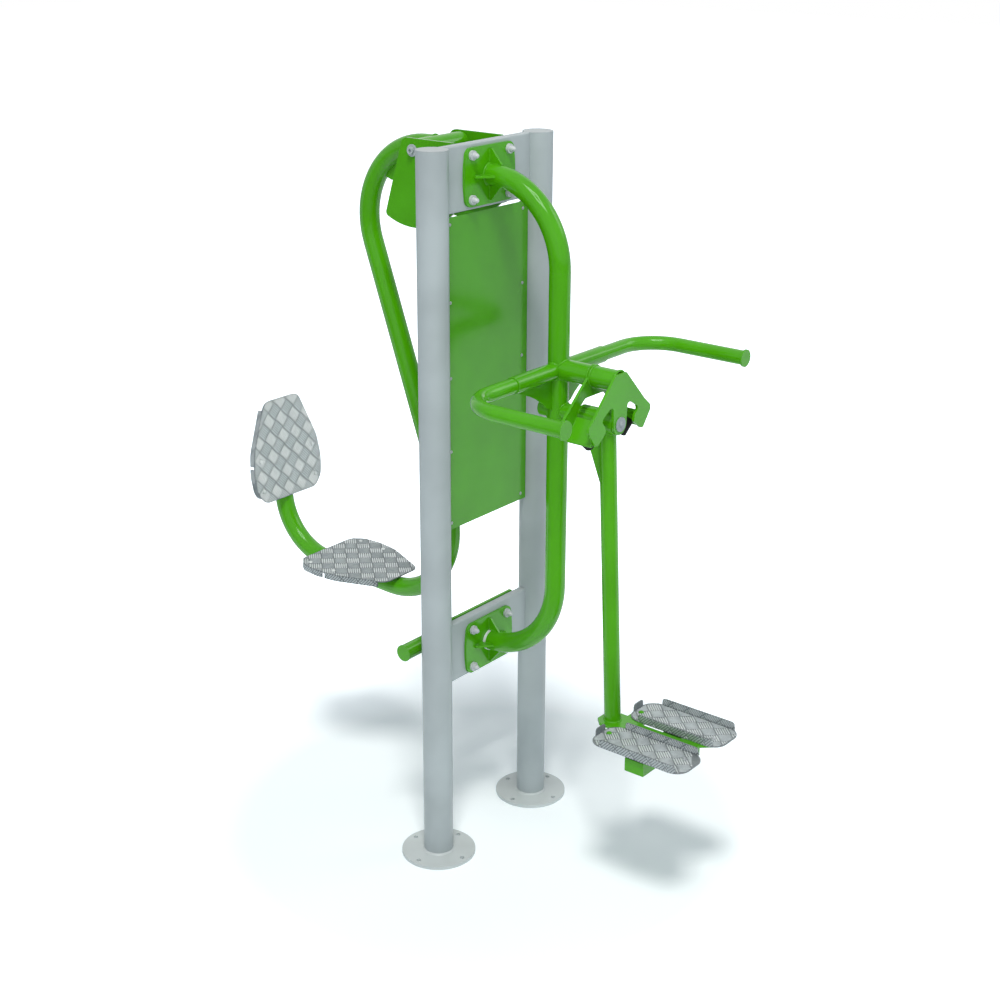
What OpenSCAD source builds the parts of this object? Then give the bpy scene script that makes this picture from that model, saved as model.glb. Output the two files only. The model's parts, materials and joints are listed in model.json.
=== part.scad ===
// Two-sided outdoor exercise station: a side-swinging standing pendulum in front
// and a swinging press seat behind, both carried by a pair of round posts.
// Millimetres, +Z up, origin on the ground midway between the posts,
// X across the posts, -Y towards the pendulum, +Y towards the seat.

/* [Posts and ground flanges] */
// Half the distance between the post axes
post_half_spacing = 231; // [200:1:300]
// Outside diameter of each post
post_diameter = 88.9; // [76:0.1:114]
// Wall of each post
post_wall = 3.6; // [2:0.1:6]
// Height of the post tops above the ground
post_height = 2138; // [1900:1:2400]
// Thickness of the flat lid welded on each post
post_lid = 4; // [2:0.5:8]
// Diameter of the round ground flanges
flange_diameter = 225; // [200:1:300]
// Thickness of the ground flanges
flange_thickness = 10; // [6:1:20]
// Pitch circle of the four anchor holes in each flange
anchor_circle = 187; // [170:1:240]
// Diameter of the anchor holes
anchor_hole = 14; // [10:0.5:22]
// Leg of the weld bead round each post foot
foot_weld = 5; // [3:0.5:8]

/* [Crossplates and panel] */
// Front face of the crossplates, measured forward of the post axes
cross_front = 5; // [0:0.5:15]
// Thickness of the crossplates
cross_thickness = 25; // [10:0.5:30]
// Edge rounding of the crossplates
cross_round = 5; // [2:0.5:7]
// Height of the upper crossplate
upper_cross_height = 182; // [150:1:240]
// Underside of the lower crossplate above the ground
lower_cross_bottom = 551; // [450:1:700]
// Height of the lower crossplate
lower_cross_height = 187; // [150:1:240]
// Lower edge of the panel above the ground
panel_bottom = 1040; // [900:1:1200]
// Gap between the panel's upper edge and the upper crossplate
panel_top_gap = 9; // [0:1:60]
// Sheet thickness of the panel
panel_sheet = 2; // [1:0.5:4]
// Front face of the panel, measured forward of the post axes
panel_front = 2; // [0:0.5:5]
// Gap between the panel's side edges and the posts
panel_gap = 1; // [0.5:0.5:3]
// Width of the hidden flat bars behind the panel edges
rail_width = 36; // [25:1:50]
// Thickness of those bars
rail_thickness = 5; // [3:0.5:8]
// Sideways position of the panel screws
screw_column = 161.7; // [140:0.1:175]
// Distance of the end screws from the panel's upper and lower edges
screw_end = 20; // [12:1:40]
// Thread diameter of the panel screws
screw_diameter = 5; // [4:0.5:8]
// Head diameter of the panel screws
screw_head = 10; // [8:0.5:14]
// Head height of the panel screws
screw_head_height = 2.8; // [2:0.1:5]

/* [Front tube and its plates] */
// Drop of the upper front plate's centre below the post tops
upper_plate_drop = 92.5; // [82:0.5:150]
// Height of the lower front plate's centre
lower_plate_height = 635; // [500:1:800]
// Half height of the front plates
plate_half_height = 81; // [60:1:110]
// Half width of the front plates at their corners
plate_half_width = 103; // [80:1:130]
// Half width of the front plates at mid height
plate_half_belly = 114; // [85:1:140]
// Corner radius of the front plates
plate_corner = 24; // [10:1:40]
// Thickness of the front plates
plate_thickness = 8; // [6:1:12]
// Sideways position of the plate bolts
plate_bolt_x = 80.5; // [60:0.5:100]
// Position of the plate bolts above and below the plate centre
plate_bolt_z = 60.5; // [45:0.5:75]
// Thread diameter of the plate bolts
bolt_diameter = 10; // [8:1:14]
// Clearance on the diameter of the bolt holes
bolt_clearance = 1; // [0.5:0.5:2]
// Width across the flats of bolt heads and nuts
bolt_flats = 16; // [13:1:18]
// Height of the bolt heads
bolt_head = 6.4; // [5:0.1:10]
// Height of the nuts
nut_height = 8.4; // [6:0.1:12]
// Diameter of the plastic caps over the bolt heads
cap_diameter = 27; // [24:0.5:34]
// Height of the wide base of a plastic cap
cap_rim = 8; // [7:0.5:12]
// Diameter of the dome of a plastic cap
cap_dome = 18; // [14:0.5:24]
// Height of the dome above the base
cap_dome_height = 17; // [8:0.5:20]
// Outside diameter of the large tubes
tube_diameter = 60.3; // [48:0.1:76]
// Wall of the large tubes
tube_wall = 3.2; // [2:0.1:5]
// Thinning of the tube walls in the bends, on each face
bend_step = 0.2; // [0.05:0.01:0.4]
// Length of straight tube carried into each bend
bend_lap = 1.5; // [1:0.1:3]
// Forward distance of the vertical run of the front tube
front_tube_reach = 257; // [200:1:350]
// Centreline radius of the front tube's two bends
front_bend = 240; // [150:1:240]
// Height of the small triangular gussets on the plates
gusset_height = 41; // [25:1:60]
// Length of the small triangular gussets along the tube
gusset_length = 41; // [25:1:60]
// Thickness of the small gussets
gusset_thickness = 6; // [4:0.5:10]
// Width of the light ring at the foot of the lower run
ring_width = 8; // [3:0.5:10]
// Thickness of that ring
ring_thickness = 2; // [1:0.1:3]

/* [Handlebars] */
// Height of the handlebar axis
handle_height = 1531; // [1300:1:1700]
// Half width between the two grips' axes
handle_half_width = 431; // [300:1:520]
// Forward reach of the grips from the vertical tube
handle_reach = 339; // [250:1:450]
// Centreline radius of the handlebar bends
handle_bend = 121; // [80:1:150]
// Outside diameter of the handlebar tube
handle_diameter = 42.4; // [33.7:0.1:48.3]
// Wall of the handlebar tube
handle_wall = 2.6; // [2:0.1:4]
// Diameter of the flat end discs
handle_disc = 51; // [44:0.5:60]
// Thickness of the flat end discs
handle_disc_thickness = 5; // [3:0.5:8]
// Distance of the sleeve ends from the middle
sleeve_half_length = 205; // [150:1:260]
// Wall of the sleeves round the handlebar tube
sleeve_wall = 3; // [2:0.1:5]
// Depth of the shaped gussets under the sleeves, down the vertical tube
web_drop = 86; // [50:1:120]
// Thickness of the shaped gussets
web_thickness = 6; // [4:0.5:10]
// Distance of the gusset tips back from the sleeve ends
web_setback = 12; // [5:1:30]

/* [Pendulum bracket] */
// Height of the bracket tube's axis
bracket_height = 1534; // [1400:1:1700]
// Forward face of the front bracket plate
bracket_front = 469; // [420:1:560]
// Thickness of the bracket plates
bracket_thickness = 8; // [6:0.5:12]
// Forward face of the rear bracket plate
bracket_rear_front = 382; // [340:1:410]
// Height of the pendulum's pivot
pivot_height = 1414; // [1300:1:1500]
// Size of the bracket plates, from the middle to the shoulder
bracket_span = 147; // [110:1:180]
// Radius of the front bracket plate's tongue round the pivot
tongue_radius = 30; // [24:1:36]
// Diameter of the fixed pivot beam
beam_diameter = 48.3; // [42.4:0.1:60.3]
// Wall of the fixed pivot beam
beam_wall = 3.6; // [2:0.1:6]
// Rear end of the pivot beam, forward of the post axes
beam_rear = 203; // [190:1:220]
// Front end of the pivot beam
beam_front = 342; // [300:1:350]
// Thickness of the discs in the beam's ends
beam_disc = 8; // [5:0.5:12]
// Diameter of the pivot shaft
shaft_diameter = 25; // [20:0.5:35]
// Diameter of the light washer on the shaft's front end
pivot_washer = 41; // [32:0.5:50]
// Thickness of that washer
pivot_washer_thickness = 4; // [2:0.5:8]
// Diameter of the domed shaft nut cover
pivot_dome = 18; // [12:0.5:26]
// Height of the domed shaft nut cover
pivot_dome_height = 6; // [3:0.5:10]
// Tilt of the stop plates, and the largest swing of the pendulum
swing_limit = 40; // [20:1:50]
// Distance of the stop plates' outer faces from the pivot axis
stop_offset = 77; // [65:1:100]
// Upper end of the stop plates along their slope
stop_start = 34; // [20:1:50]
// Lower end of the stop plates along their slope
stop_end = 108; // [90:1:130]
// Thickness of the stop plates
stop_thickness = 8; // [5:0.5:12]
// Place of the rubber buffers along the slope
buffer_place = 88; // [70:1:110]
// Diameter of the rubber buffers
buffer_diameter = 30; // [20:1:40]
// Gap left between buffer and arm at the end of the swing
buffer_gap = 0.3; // [0.1:0.1:1]

/* [Pendulum] */
// Diameter of the pendulum hub
hub_diameter = 66; // [55:1:80]
// Rear end of the pendulum hub, forward of the post axes
hub_rear = 344; // [330:1:370]
// Gap between the hub's front end and the front bracket plate
hub_gap = 1.5; // [1:0.1:4]
// Outside diameter of the hub's bushes
bush_diameter = 50; // [40:0.5:56]
// Length of each bush
bush_length = 30; // [20:1:45]
// Outside diameter of the seat hub's bushes
seat_bush_diameter = 50; // [42:0.5:54]
// Radial running clearance in the bushes
running_clearance = 0.05; // [0.01:0.01:0.1]
// Outside diameter of the pendulum arm
arm_diameter = 48.3; // [42.4:0.1:60.3]
// Wall of the pendulum arm
arm_wall = 3.2; // [2:0.1:5]
// Forward position of the arm at the pivot height
arm_top_reach = 427; // [400:1:440]
// Forward position of the arm at its foot
arm_foot_reach = 474; // [440:1:520]
// Height of the foot base's top face
foot_base_height = 515; // [400:1:700]
// Thickness of the foot base plate
foot_base_thickness = 8; // [5:0.5:12]
// Forward position of the web's rear corner under the hub
web_top_reach = 352; // [346:1:380]
// Lower end of the web behind the arm
web_bottom_height = 1215; // [1100:1:1300]
// Half width of the base plate round the arm
base_half_width = 44; // [35:1:60]
// Rear edge of the base plate
base_rear = 436; // [420:1:450]
// Half width of the long strip between the foot plates
strip_half_width = 24; // [18:1:28]
// Front end of the long strip
strip_front = 757; // [700:1:800]
// Depth of the strip's turned-down edges
strip_lip = 22; // [15:1:35]
// Half width of the swept ears under the foot plates
ear_half_width = 112; // [95:1:130]
// Width of the swept ears along the swing axis
ear_width = 44; // [30:1:60]
// Forward position of the rear foot plate bolts
foot_bolt_rear = 519; // [505:1:540]
// Forward position of the front foot plate bolts
foot_bolt_front = 768; // [740:1:790]
// Sideways position of the rear foot plate bolts
foot_bolt_rear_x = 82; // [60:1:110]
// Sideways position of the front foot plate bolts
foot_bolt_front_x = 75; // [60:1:110]
// Thread diameter of the foot plate bolts
foot_bolt = 8; // [6:0.5:12]
// Half length of the crossbar under the foot plates
crossbar_half = 155; // [120:1:165]
// Section of the crossbar along the swing axis
crossbar_width = 62; // [40:1:80]
// Section of the crossbar in height
crossbar_height = 40; // [30:1:50]
// Wall of the crossbar
crossbar_wall = 3; // [2:0.5:5]
// Forward position of the crossbar's middle
crossbar_reach = 655; // [600:1:720]
// Distance from the middle to the foot plates' inner edges
foot_inner = 30; // [26:1:50]
// Width of each foot plate
foot_width = 133; // [110:1:160]
// Length of each foot plate
foot_length = 316; // [280:1:360]
// Corner radius of the foot plates
foot_corner = 44; // [20:1:60]
// Sheet thickness of the foot plates
foot_sheet = 3; // [2:0.5:5]
// Height of the foot plates' upturned rims
foot_rim = 22; // [15:1:35]
// Middle gap in the rim at the rear end of the foot plates
foot_rim_gap = 50; // [30:1:70]
// Small gaps between the side rims and the end rims
foot_corner_gap = 12; // [6:1:20]

/* [Seat pivot] */
// Rearward position of the seat's pivot
seat_pivot_reach = 176; // [150:1:260]
// Drop of the seat's pivot below the post tops
seat_pivot_drop = 34; // [31:1:60]
// Thickness of the plates behind the crossplates
back_plate = 8; // [6:0.5:12]
// Drop of the upper back plate's lower edge below the post tops
upper_back_low = 190; // [160:1:220]
// Drop of the upper back plate's upper edge below the post tops
upper_back_high = 4; // [0:1:20]
// Lower edge of the lower back plate
lower_back_bottom = 546; // [450:1:600]
// Upper edge of the lower back plate
lower_back_top = 741; // [680:1:800]
// Half width of the upper back plate
upper_back_half = 118; // [110:1:140]
// Half width of the lower back plate
lower_back_half = 151; // [110:1:165]
// Distance from the middle to the outer faces of the two side cheeks
cheek_half = 109; // [80:1:120]
// Thickness of the side cheeks
cheek_thickness = 8; // [6:0.5:12]
// Drop of the cheeks' top edge below the post tops
cheek_drop = 0.5; // [0:0.5:10]
// Reach of the cheeks' upper rear corner beyond the pivot
cheek_upper = 38; // [26:1:60]
// Reach of the cheeks' lower rear corner beyond the pivot
cheek_lower = 105; // [80:1:130]
// Rounding of the cheeks' upper rear corner
cheek_round = 25; // [5:1:40]
// Rounding of the cheeks' lower rear corner
cheek_low_round = 12; // [4:1:20]
// Swing radius of the cheeks' lower edge
cheek_radius = 215; // [180:1:260]
// Outside diameter of the seat hub
seat_hub = 60.3; // [57:0.1:76.1]
// Gap between the seat hub's ends and the cheeks
seat_hub_gap = 1.5; // [1:0.1:4]
// Diameter of the seat shaft
seat_shaft = 30; // [25:0.5:40]
// Diameter of the washers outside the cheeks
seat_washer = 34; // [32:0.5:50]
// Thickness of those washers
seat_washer_thickness = 4; // [2:0.5:8]
// Diameter of the socket screw heads
socket_diameter = 20; // [16:0.5:30]
// Height of the socket screw heads
socket_height = 8; // [6:0.5:14]
// Width across the flats of the hexagon sockets
socket_flats = 10; // [6:0.5:14]
// Depth of the hexagon sockets
socket_depth = 6; // [3:0.5:8]
// Forward offset of the rest bar from the seat pivot
rest_reach = 84; // [60:1:100]
// Drop of the rest bar below the seat pivot
rest_drop = 104; // [80:1:140]
// Diameter of the rest bar
rest_bar = 20; // [14:1:30]
// Diameter of the rubber sleeve on the rest bar
rest_sleeve = 40; // [28:1:50]
// Length of the rubber sleeve
rest_sleeve_length = 60; // [40:1:100]
// Gap between the rest sleeve and the hub's lug at rest
rest_gap = 0.3; // [0.1:0.1:1]
// Thickness of the hub's lug
lug_thickness = 12; // [8:1:20]
// Width of the hub's lug across the machine
lug_width = 46; // [30:1:80]

/* [Swing arm and seat] */
// Distance of the arm's upper bend corner behind the pivot
arm_corner_run = 362; // [340:1:420]
// Rise of the arm's upper bend corner over the pivot
arm_corner_rise = 0.5; // [-20:0.5:20]
// Reach of the arm's lower bend corner
knee_reach = 36; // [0:1:100]
// Height of the arm's lower bend corner
knee_height = 694; // [600:1:800]
// Reach of the bend corner behind the seat
heel_reach = 832; // [760:1:900]
// Height of the bend corner behind the seat
heel_height = 732; // [680:1:800]
// Length of the arm from that corner to its upper rear end
back_run = 346.3; // [320:0.1:420]
// Slope of that last run in degrees
back_slope = 82; // [75:0.1:88]
// Diameter of the disc on the arm's upper rear end
arm_disc = 62; // [60.5:0.5:70]
// Thickness of that disc
arm_disc_thickness = 5; // [3:0.5:8]
// Centreline radius of the upper bend
upper_bend = 225; // [150:1:300]
// Centreline radius of the lower bend
lower_bend = 235; // [150:1:300]
// Centreline radius of the bend behind the seat
heel_bend = 195; // [150:1:240]
// Length of the seat and backrest plates
seat_length = 328; // [280:1:380]
// Sheet thickness of the seat and backrest plates
seat_sheet = 3; // [2:0.5:5]
// Depth of the turned side rims below the sheet
seat_rim = 17; // [10:1:30]
// Start of the side rims from the wide end
seat_rim_start = 20; // [10:1:40]
// End of the side rims from the wide end
seat_rim_end = 302; // [260:1:310]
// Place of the small notch in each side rim
seat_notch = 122; // [90:1:160]
// Width of that notch
seat_notch_width = 9; // [5:1:15]
// Distance of the seat plate's wide end from the bend corner behind it, along the arm
seat_setback = 161.6; // [155:0.1:180]
// Gap between the arm and the seat plate's underside at its wide end
seat_gap = 2.5; // [1:0.1:5]
// Turn of the seat plate against the arm in degrees
seat_turn = 1.3; // [0:0.1:2]
// Distance of the backrest plate's wide end from the arm's upper end, along the arm
back_setback = 171.2; // [160:0.1:180]
// Gap between the arm and the backrest plate's rear face at its wide end
back_gap = 2.5; // [1:0.1:5]
// Turn of the backrest plate against the arm in degrees
back_turn = 2.4; // [0:0.1:3]
// Thickness of the carrier plates at the wide end of the sheets
carrier_thickness = 6; // [4:0.5:10]
// Thickness of the carrier plates at their other end
carrier_far_thickness = 11; // [6:0.5:16]
// Width of the carrier plates
carrier_width = 256; // [200:1:270]
// Head diameter of the seat screws
seat_screw_head = 14; // [10:0.5:18]
// Thread diameter of the seat screws
seat_screw = 8; // [6:0.5:10]
// Sideways position of the seat screws
seat_screw_x = 117; // [80:1:120]
// First row of seat screws from the wide end
seat_row_one = 42; // [25:1:60]
// Second row of seat screws from the wide end
seat_row_two = 142; // [110:1:180]
// Length of the web behind the seat hub
arm_web_length = 175; // [130:1:185]
// Drop of that web below the pivot
arm_web_drop = 114; // [80:1:130]

/* [Foot bar] */
// Rearward position of the foot bar
footbar_reach = 110; // [80:1:160]
// Height of the foot bar
footbar_height = 645; // [560:1:720]
// Outside diameter of the foot bar's stub
stub_diameter = 42.4; // [33.7:0.1:46]
// Half height of the gussets over and under the stub
stub_gusset = 56; // [40:1:80]
// Length of the gussets along the stub
stub_gusset_length = 48; // [25:1:56]
// Half length of the foot bar
footbar_half = 252; // [200:1:320]
// Outside diameter of the foot bar
footbar_diameter = 48.3; // [42.4:0.1:60.3]
// Wall of the foot bar
footbar_wall = 2.9; // [2:0.1:5]
// Diameter of the foot bar's end discs
footbar_disc = 51; // [46:0.5:60]
// Thickness of the foot bar's end discs
footbar_disc_thickness = 4; // [3:0.5:8]

/* [Hidden] */
$fn = 64;
post_r = post_diameter/2;
tube_r = tube_diameter/2;
beam_r = beam_diameter/2;
handle_r = handle_diameter/2;
arm_r = arm_diameter/2;
bolt_r = bolt_diameter/2;
plate_back = cross_front;
plate_front = cross_front + plate_thickness;
cross_back = cross_thickness - cross_front;
upper_cross_bottom = post_height - upper_cross_height;
panel_top = upper_cross_bottom - panel_top_gap;
upper_plate_height = post_height - upper_plate_drop;
upper_back_bottom = post_height - upper_back_low;
upper_back_top = post_height - upper_back_high;
seat_pivot_height = post_height - seat_pivot_drop;
cheek_top = post_height - cheek_drop;
cheek_corner = seat_pivot_reach + cheek_upper;
cheek_reach = seat_pivot_reach + cheek_lower;
arm_corner_reach = seat_pivot_reach + arm_corner_run;
arm_corner_height = seat_pivot_height + arm_corner_rise;
arm_end_reach = heel_reach + back_run*cos(back_slope);
arm_end_height = heel_height + back_run*sin(back_slope);
back_face = cross_back + back_plate;
plate_bolts = [[-1, -1], [1, -1], [1, 1], [-1, 1]];
screw_rows = 5;
screw_low = panel_bottom + screw_end;
screw_pitch = (panel_top - panel_bottom - 2*screw_end)/(screw_rows - 1);
panel_back = panel_sheet - panel_front;
rail_inner = post_half_spacing - post_r - rail_width;
sleeve_r = handle_r + sleeve_wall;
shaft_r = shaft_diameter/2;
hub_front = bracket_front - bracket_thickness - hub_gap;
stop_inner = stop_offset - stop_thickness;
buffer_face = arm_r + buffer_gap;
cheek_inner = cheek_half - cheek_thickness;
hub_half = cheek_inner - seat_hub_gap;
foot_top = foot_base_height + foot_sheet;
base_under = foot_base_height - foot_base_thickness;
seat_slope = atan2(heel_height - knee_height, heel_reach - knee_reach);
// wide ends of the seat and backrest plates, set off from the arm's axis
seat_wide_reach = heel_reach - seat_setback*cos(seat_slope) - (tube_r + seat_gap)*sin(seat_slope);
seat_wide_height = heel_height - seat_setback*sin(seat_slope) + (tube_r + seat_gap)*cos(seat_slope);
seat_tilt = seat_slope - seat_turn;
back_wide_reach = arm_end_reach - back_setback*cos(back_slope) - (tube_r + back_gap)*sin(back_slope);
back_wide_height = arm_end_height - back_setback*sin(back_slope) + (tube_r + back_gap)*cos(back_slope);
back_lean = 90 - back_slope - back_turn;
arm_slope = atan2(arm_foot_reach - arm_top_reach, pivot_height - base_under);

// shares of bracket_span: sideways and up from the pivot, right half
front_bracket_shares = [[0, 0.98], [0.16, 0.98], [0.79, 0.33], [1, 0.155], [1, 0.06],
  [0.775, -0.24], [0.70, -0.24], [0.455, -0.055], [0.48, 0.06], [0.58, 0.17], [0.545, 0.245],
  [0.33, 0.375], [0.225, 0.36]];
front_round_shares = [0, 0.08, 0.20, 0.06, 0.06, 0.04, 0.05, 0.06, 0.08, 0.05, 0.05, 0.05, 0.05];
// the rear plate has no tongue, and its arch clears the hub
rear_bracket_shares = [[0, 0.84], [0.21, 0.84], [0.79, 0.33], [1, 0.155], [1, 0.06],
  [0.775, -0.24], [0.70, -0.24], [0.455, -0.055], [0.48, 0.06], [0.56, 0.17], [0.50, 0.30],
  [0.30, 0.46], [0, 0.46]];
rear_round_shares = [0, 0.02, 0.20, 0.06, 0.06, 0.04, 0.05, 0.06, 0.08, 0.06, 0.06, 0.12, 0];
// shares of the handle gussets' length and drop, from the tube outwards
web_edge_shares = [[0, 0], [0.16, 0.13], [0.27, 0.33], [0.42, 0.53], [0.57, 0.68], [0.78, 0.85],
  [1, 1]];
// shares of seat_length: half width and distance from the wide end
seat_outline_shares = [[0, 0], [0.34, 0], [0.437, 0.11], [0.458, 0.30], [0.43, 0.52],
  [0.235, 0.985], [0.16, 1], [0, 1]];
seat_round_shares = [0, 0.10, 0.16, 0.40, 0.40, 0.10, 0.12, 0];
// share of the seat hub's diameter by which the arm's end stays behind the pivot
hub_start_share = 0.2;

function unit(a) = a/norm(a);
function cross2(a, b) = a[0]*b[1] - a[1]*b[0];
function turn(a, b, c) = atan2(cross2(b - a, c - b), (b - a)*(c - b));
function cut(a, b, c, r) = r*tan(abs(turn(a, b, c))/2);
function sgn(x) = x < 0 ? -1 : 1;
// points of an arc that rounds corner b
function corner(a, b, c, r, n) =
  let (t = turn(a, b, c), d = unit(b - a), s = b - d*cut(a, b, c, r),
       m = s + sgn(t)*r*[-d[1], d[0]], v = s - m)
  r == 0 || abs(t) < 0.5 ? [b] :
  [for (i = [0:n]) let (q = t*i/n) m + [v[0]*cos(q) - v[1]*sin(q), v[0]*sin(q) + v[1]*cos(q)]];
function rounded(p, r, n = 6) = [for (i = [0:len(p) - 1])
  each corner(p[(i + len(p) - 1) % len(p)], p[i], p[(i + 1) % len(p)], r[i], n)];
function mirrored(p) = concat(p, [for (i = [len(p) - 2:-1:1]) [-p[i][0], p[i][1]]]);
function mirrored_list(r) = concat(r, [for (i = [len(r) - 2:-1:1]) r[i]]);
function box_points(w, h) = [[-w, -h], [w, -h], [w, h], [-w, h]];

module ring(ro, ri) { difference() { circle(r = ro); circle(r = ri); } }

// straight run from p to q in the XY plane, lengthened at either end
module run(p, q, ro, ri, before, after) {
  d = unit(q - p);
  translate([p[0] - d[0]*before, p[1] - d[1]*before, 0]) rotate([0, 0, atan2(d[1], d[0])])
    rotate([0, 90, 0]) linear_extrude(norm(q - p) + before + after)
      if (ri > 0) ring(ro, ri); else circle(r = ro);
}

// bend that rounds corner b in the XY plane, a hair thinner in the wall than the runs
module bend(a, b, c, r, ro, ri) {
  t = turn(a, b, c);
  d = unit(b - a);
  s = b - d*cut(a, b, c, r);
  m = s + sgn(t)*r*[-d[1], d[0]];
  v = s - m;
  begin = atan2(v[1], v[0]);
  translate([m[0], m[1], 0])
    rotate_extrude(angle = abs(t), start = t < 0 ? begin + t : begin)
      translate([r, 0]) if (ri > 0) ring(ro - bend_step, ri + bend_step); else circle(r = ro - bend_step);
}

// tube along corner points with one radius for each inner corner
module bent_tube(p, r, ro, ri, lead = 0) {
  last = len(p) - 1;
  for (i = [0:last - 1]) {
    d = unit(p[i + 1] - p[i]);
    from = i == 0 ? p[i] : p[i] + d*cut(p[i - 1], p[i], p[i + 1], r[i - 1]);
    to = i == last - 1 ? p[last] : p[i + 1] - d*cut(p[i], p[i + 1], p[i + 2], r[i]);
    run(from, to, ro, ri, i == 0 ? lead : bend_lap, i == last - 1 ? 0 : bend_lap);
  }
  for (i = [1:last - 1]) bend(p[i - 1], p[i], p[i + 1], r[i - 1], ro, ri);
}

// puts a drawing of Y and Z into the model, extruded along X
module side_on(x, t) { translate([x, 0, 0]) rotate([90, 0, 90]) linear_extrude(t) children(); }
// puts a drawing of X and Z into the model: front face at Y = -front
module face_on(front, t) { translate([0, t - front, 0]) rotate([90, 0, 0]) linear_extrude(t) children(); }
module along_y(from, to, ro) { translate([0, to, 0]) rotate([90, 0, 0]) cylinder(r = ro, h = to - from); }
module along_x(from, to, ro) { translate([from, 0, 0]) rotate([0, 90, 0]) cylinder(r = ro, h = to - from); }
module in_yz() { rotate([90, 0, 90]) children(); }

module plate_holes(height, r) {
  for (b = plate_bolts) translate([b[0]*plate_bolt_x, height + b[1]*plate_bolt_z]) circle(r = r);
}
module screw_places() {
  for (side = [-1, 1], i = [0:screw_rows - 1])
    translate([side*screw_column, 0, screw_low + i*screw_pitch]) children();
}

module post(side) {
  color("LightGray") translate([side*post_half_spacing, 0, flange_thickness])
    linear_extrude(post_height - post_lid - flange_thickness) ring(post_r, post_r - post_wall);
}
module post_cap(side) {
  color("Silver") translate([side*post_half_spacing, 0, post_height - post_lid])
    cylinder(r = post_r, h = post_lid);
}
module flange(side) {
  color("LightGray") translate([side*post_half_spacing, 0, 0]) {
    difference() {
      cylinder(d = flange_diameter, h = flange_thickness);
      for (a = [0:90:270]) rotate([0, 0, a]) translate([anchor_circle/2, 0, 0])
        cylinder(d = anchor_hole, h = flange_thickness);
    }
    translate([0, 0, flange_thickness]) rotate_extrude()
      polygon([[post_r, 0], [post_r + foot_weld, 0], [post_r, foot_weld]]);
  }
}
module crossplate(bottom, height, bolt_height) {
  color("Gainsboro") difference() {
    side_on(-post_half_spacing, 2*post_half_spacing)
      translate([cross_back - cross_thickness/2, bottom + height/2])
        polygon(rounded(box_points(cross_thickness/2, height/2), [for (i = [0:3]) cross_round], 5));
    for (side = [-1, 1]) translate([side*post_half_spacing, 0, bottom])
      cylinder(r = post_r, h = height);
    face_on(cross_front, cross_thickness) plate_holes(bolt_height, (bolt_diameter + bolt_clearance)/2);
  }
}
module info_panel() {
  edge = post_half_spacing - post_r - panel_gap;
  color("ForestGreen") difference() {
    face_on(panel_front, panel_sheet) translate([-edge, panel_bottom])
      square([2*edge, panel_top - panel_bottom]);
    screw_places() along_y(-panel_front, panel_back, screw_diameter/2);
  }
}
module panel_rail(side) {
  color("LightGray") difference() {
    translate([side < 0 ? -post_half_spacing : rail_inner, panel_back, panel_bottom])
      cube([post_half_spacing - rail_inner, rail_thickness, panel_top - panel_bottom]);
    translate([side*post_half_spacing, 0, panel_bottom])
      cylinder(r = post_r, h = panel_top - panel_bottom);
    screw_places() along_y(panel_back, panel_back + rail_thickness, screw_diameter/2);
  }
}
module panel_screws() {
  color("Silver") screw_places() {
    along_y(-panel_front, panel_back + rail_thickness, screw_diameter/2);
    translate([0, -panel_front, 0]) rotate([90, 0, 0]) rotate_extrude($fn = 32)
      polygon(concat([[0, 0]], [for (i = [0:5]) [screw_head/2*cos(i*18), screw_head_height*sin(i*18)]]));
  }
}

module front_plate(height) {
  color("LimeGreen") face_on(plate_front, plate_thickness) difference() {
    translate([0, height]) polygon(rounded(
      [[-plate_half_width, -plate_half_height], [plate_half_width, -plate_half_height],
       [plate_half_belly, 0], [plate_half_width, plate_half_height],
       [-plate_half_width, plate_half_height], [-plate_half_belly, 0]],
      [plate_corner, plate_corner, plate_half_height*4, plate_corner, plate_corner, plate_half_height*4]));
    plate_holes(height, (bolt_diameter + bolt_clearance)/2);
  }
}
front_path = [[-plate_front, upper_plate_height], [-front_tube_reach, upper_plate_height],
  [-front_tube_reach, lower_plate_height], [-plate_front, lower_plate_height]];
module front_tube() {
  color("LimeGreen") difference() {
    in_yz() bent_tube(front_path, [front_bend, front_bend], tube_r, tube_r - tube_wall);
    translate([0, 0, pivot_height]) along_y(-beam_front, -beam_rear, beam_r);
  }
}
module gussets_at(height, ring_cut) {
  reach = tube_r + gusset_height;
  color("LimeGreen") difference() {
    for (a = [0:90:270]) translate([0, 0, height]) rotate([0, a, 0])
      side_on(-gusset_thickness/2, gusset_thickness)
        polygon([[-plate_front, tube_r/2], [-plate_front, reach],
          [-plate_front - gusset_thickness, reach], [-plate_front - gusset_length, tube_r],
          [-plate_front - gusset_length, tube_r/2]]);
    in_yz() bent_tube(front_path, [front_bend, front_bend], tube_r, 0);
    if (ring_cut) translate([0, 0, height])
      along_y(-plate_front - ring_width, -plate_front, tube_r + ring_thickness);
  }
}
module tube_ring() {
  color("Gainsboro") translate([0, -plate_front, lower_plate_height]) rotate([90, 0, 0])
    linear_extrude(ring_width) ring(tube_r + ring_thickness, tube_r);
}
module plate_bolt_places() {
  for (height = [upper_plate_height, lower_plate_height], b = plate_bolts)
    translate([b[0]*plate_bolt_x, 0, height + b[1]*plate_bolt_z]) children();
}
module hexagon(t) { rotate([90, 30, 0]) cylinder(d = bolt_flats/cos(30), h = t, $fn = 6); }
module bolts_for_plates() {
  color("DimGray") plate_bolt_places() {
    along_y(-plate_front, back_face + nut_height + bolt_head/2, bolt_r);
    translate([0, -plate_front, 0]) hexagon(bolt_head);
  }
}
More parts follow.
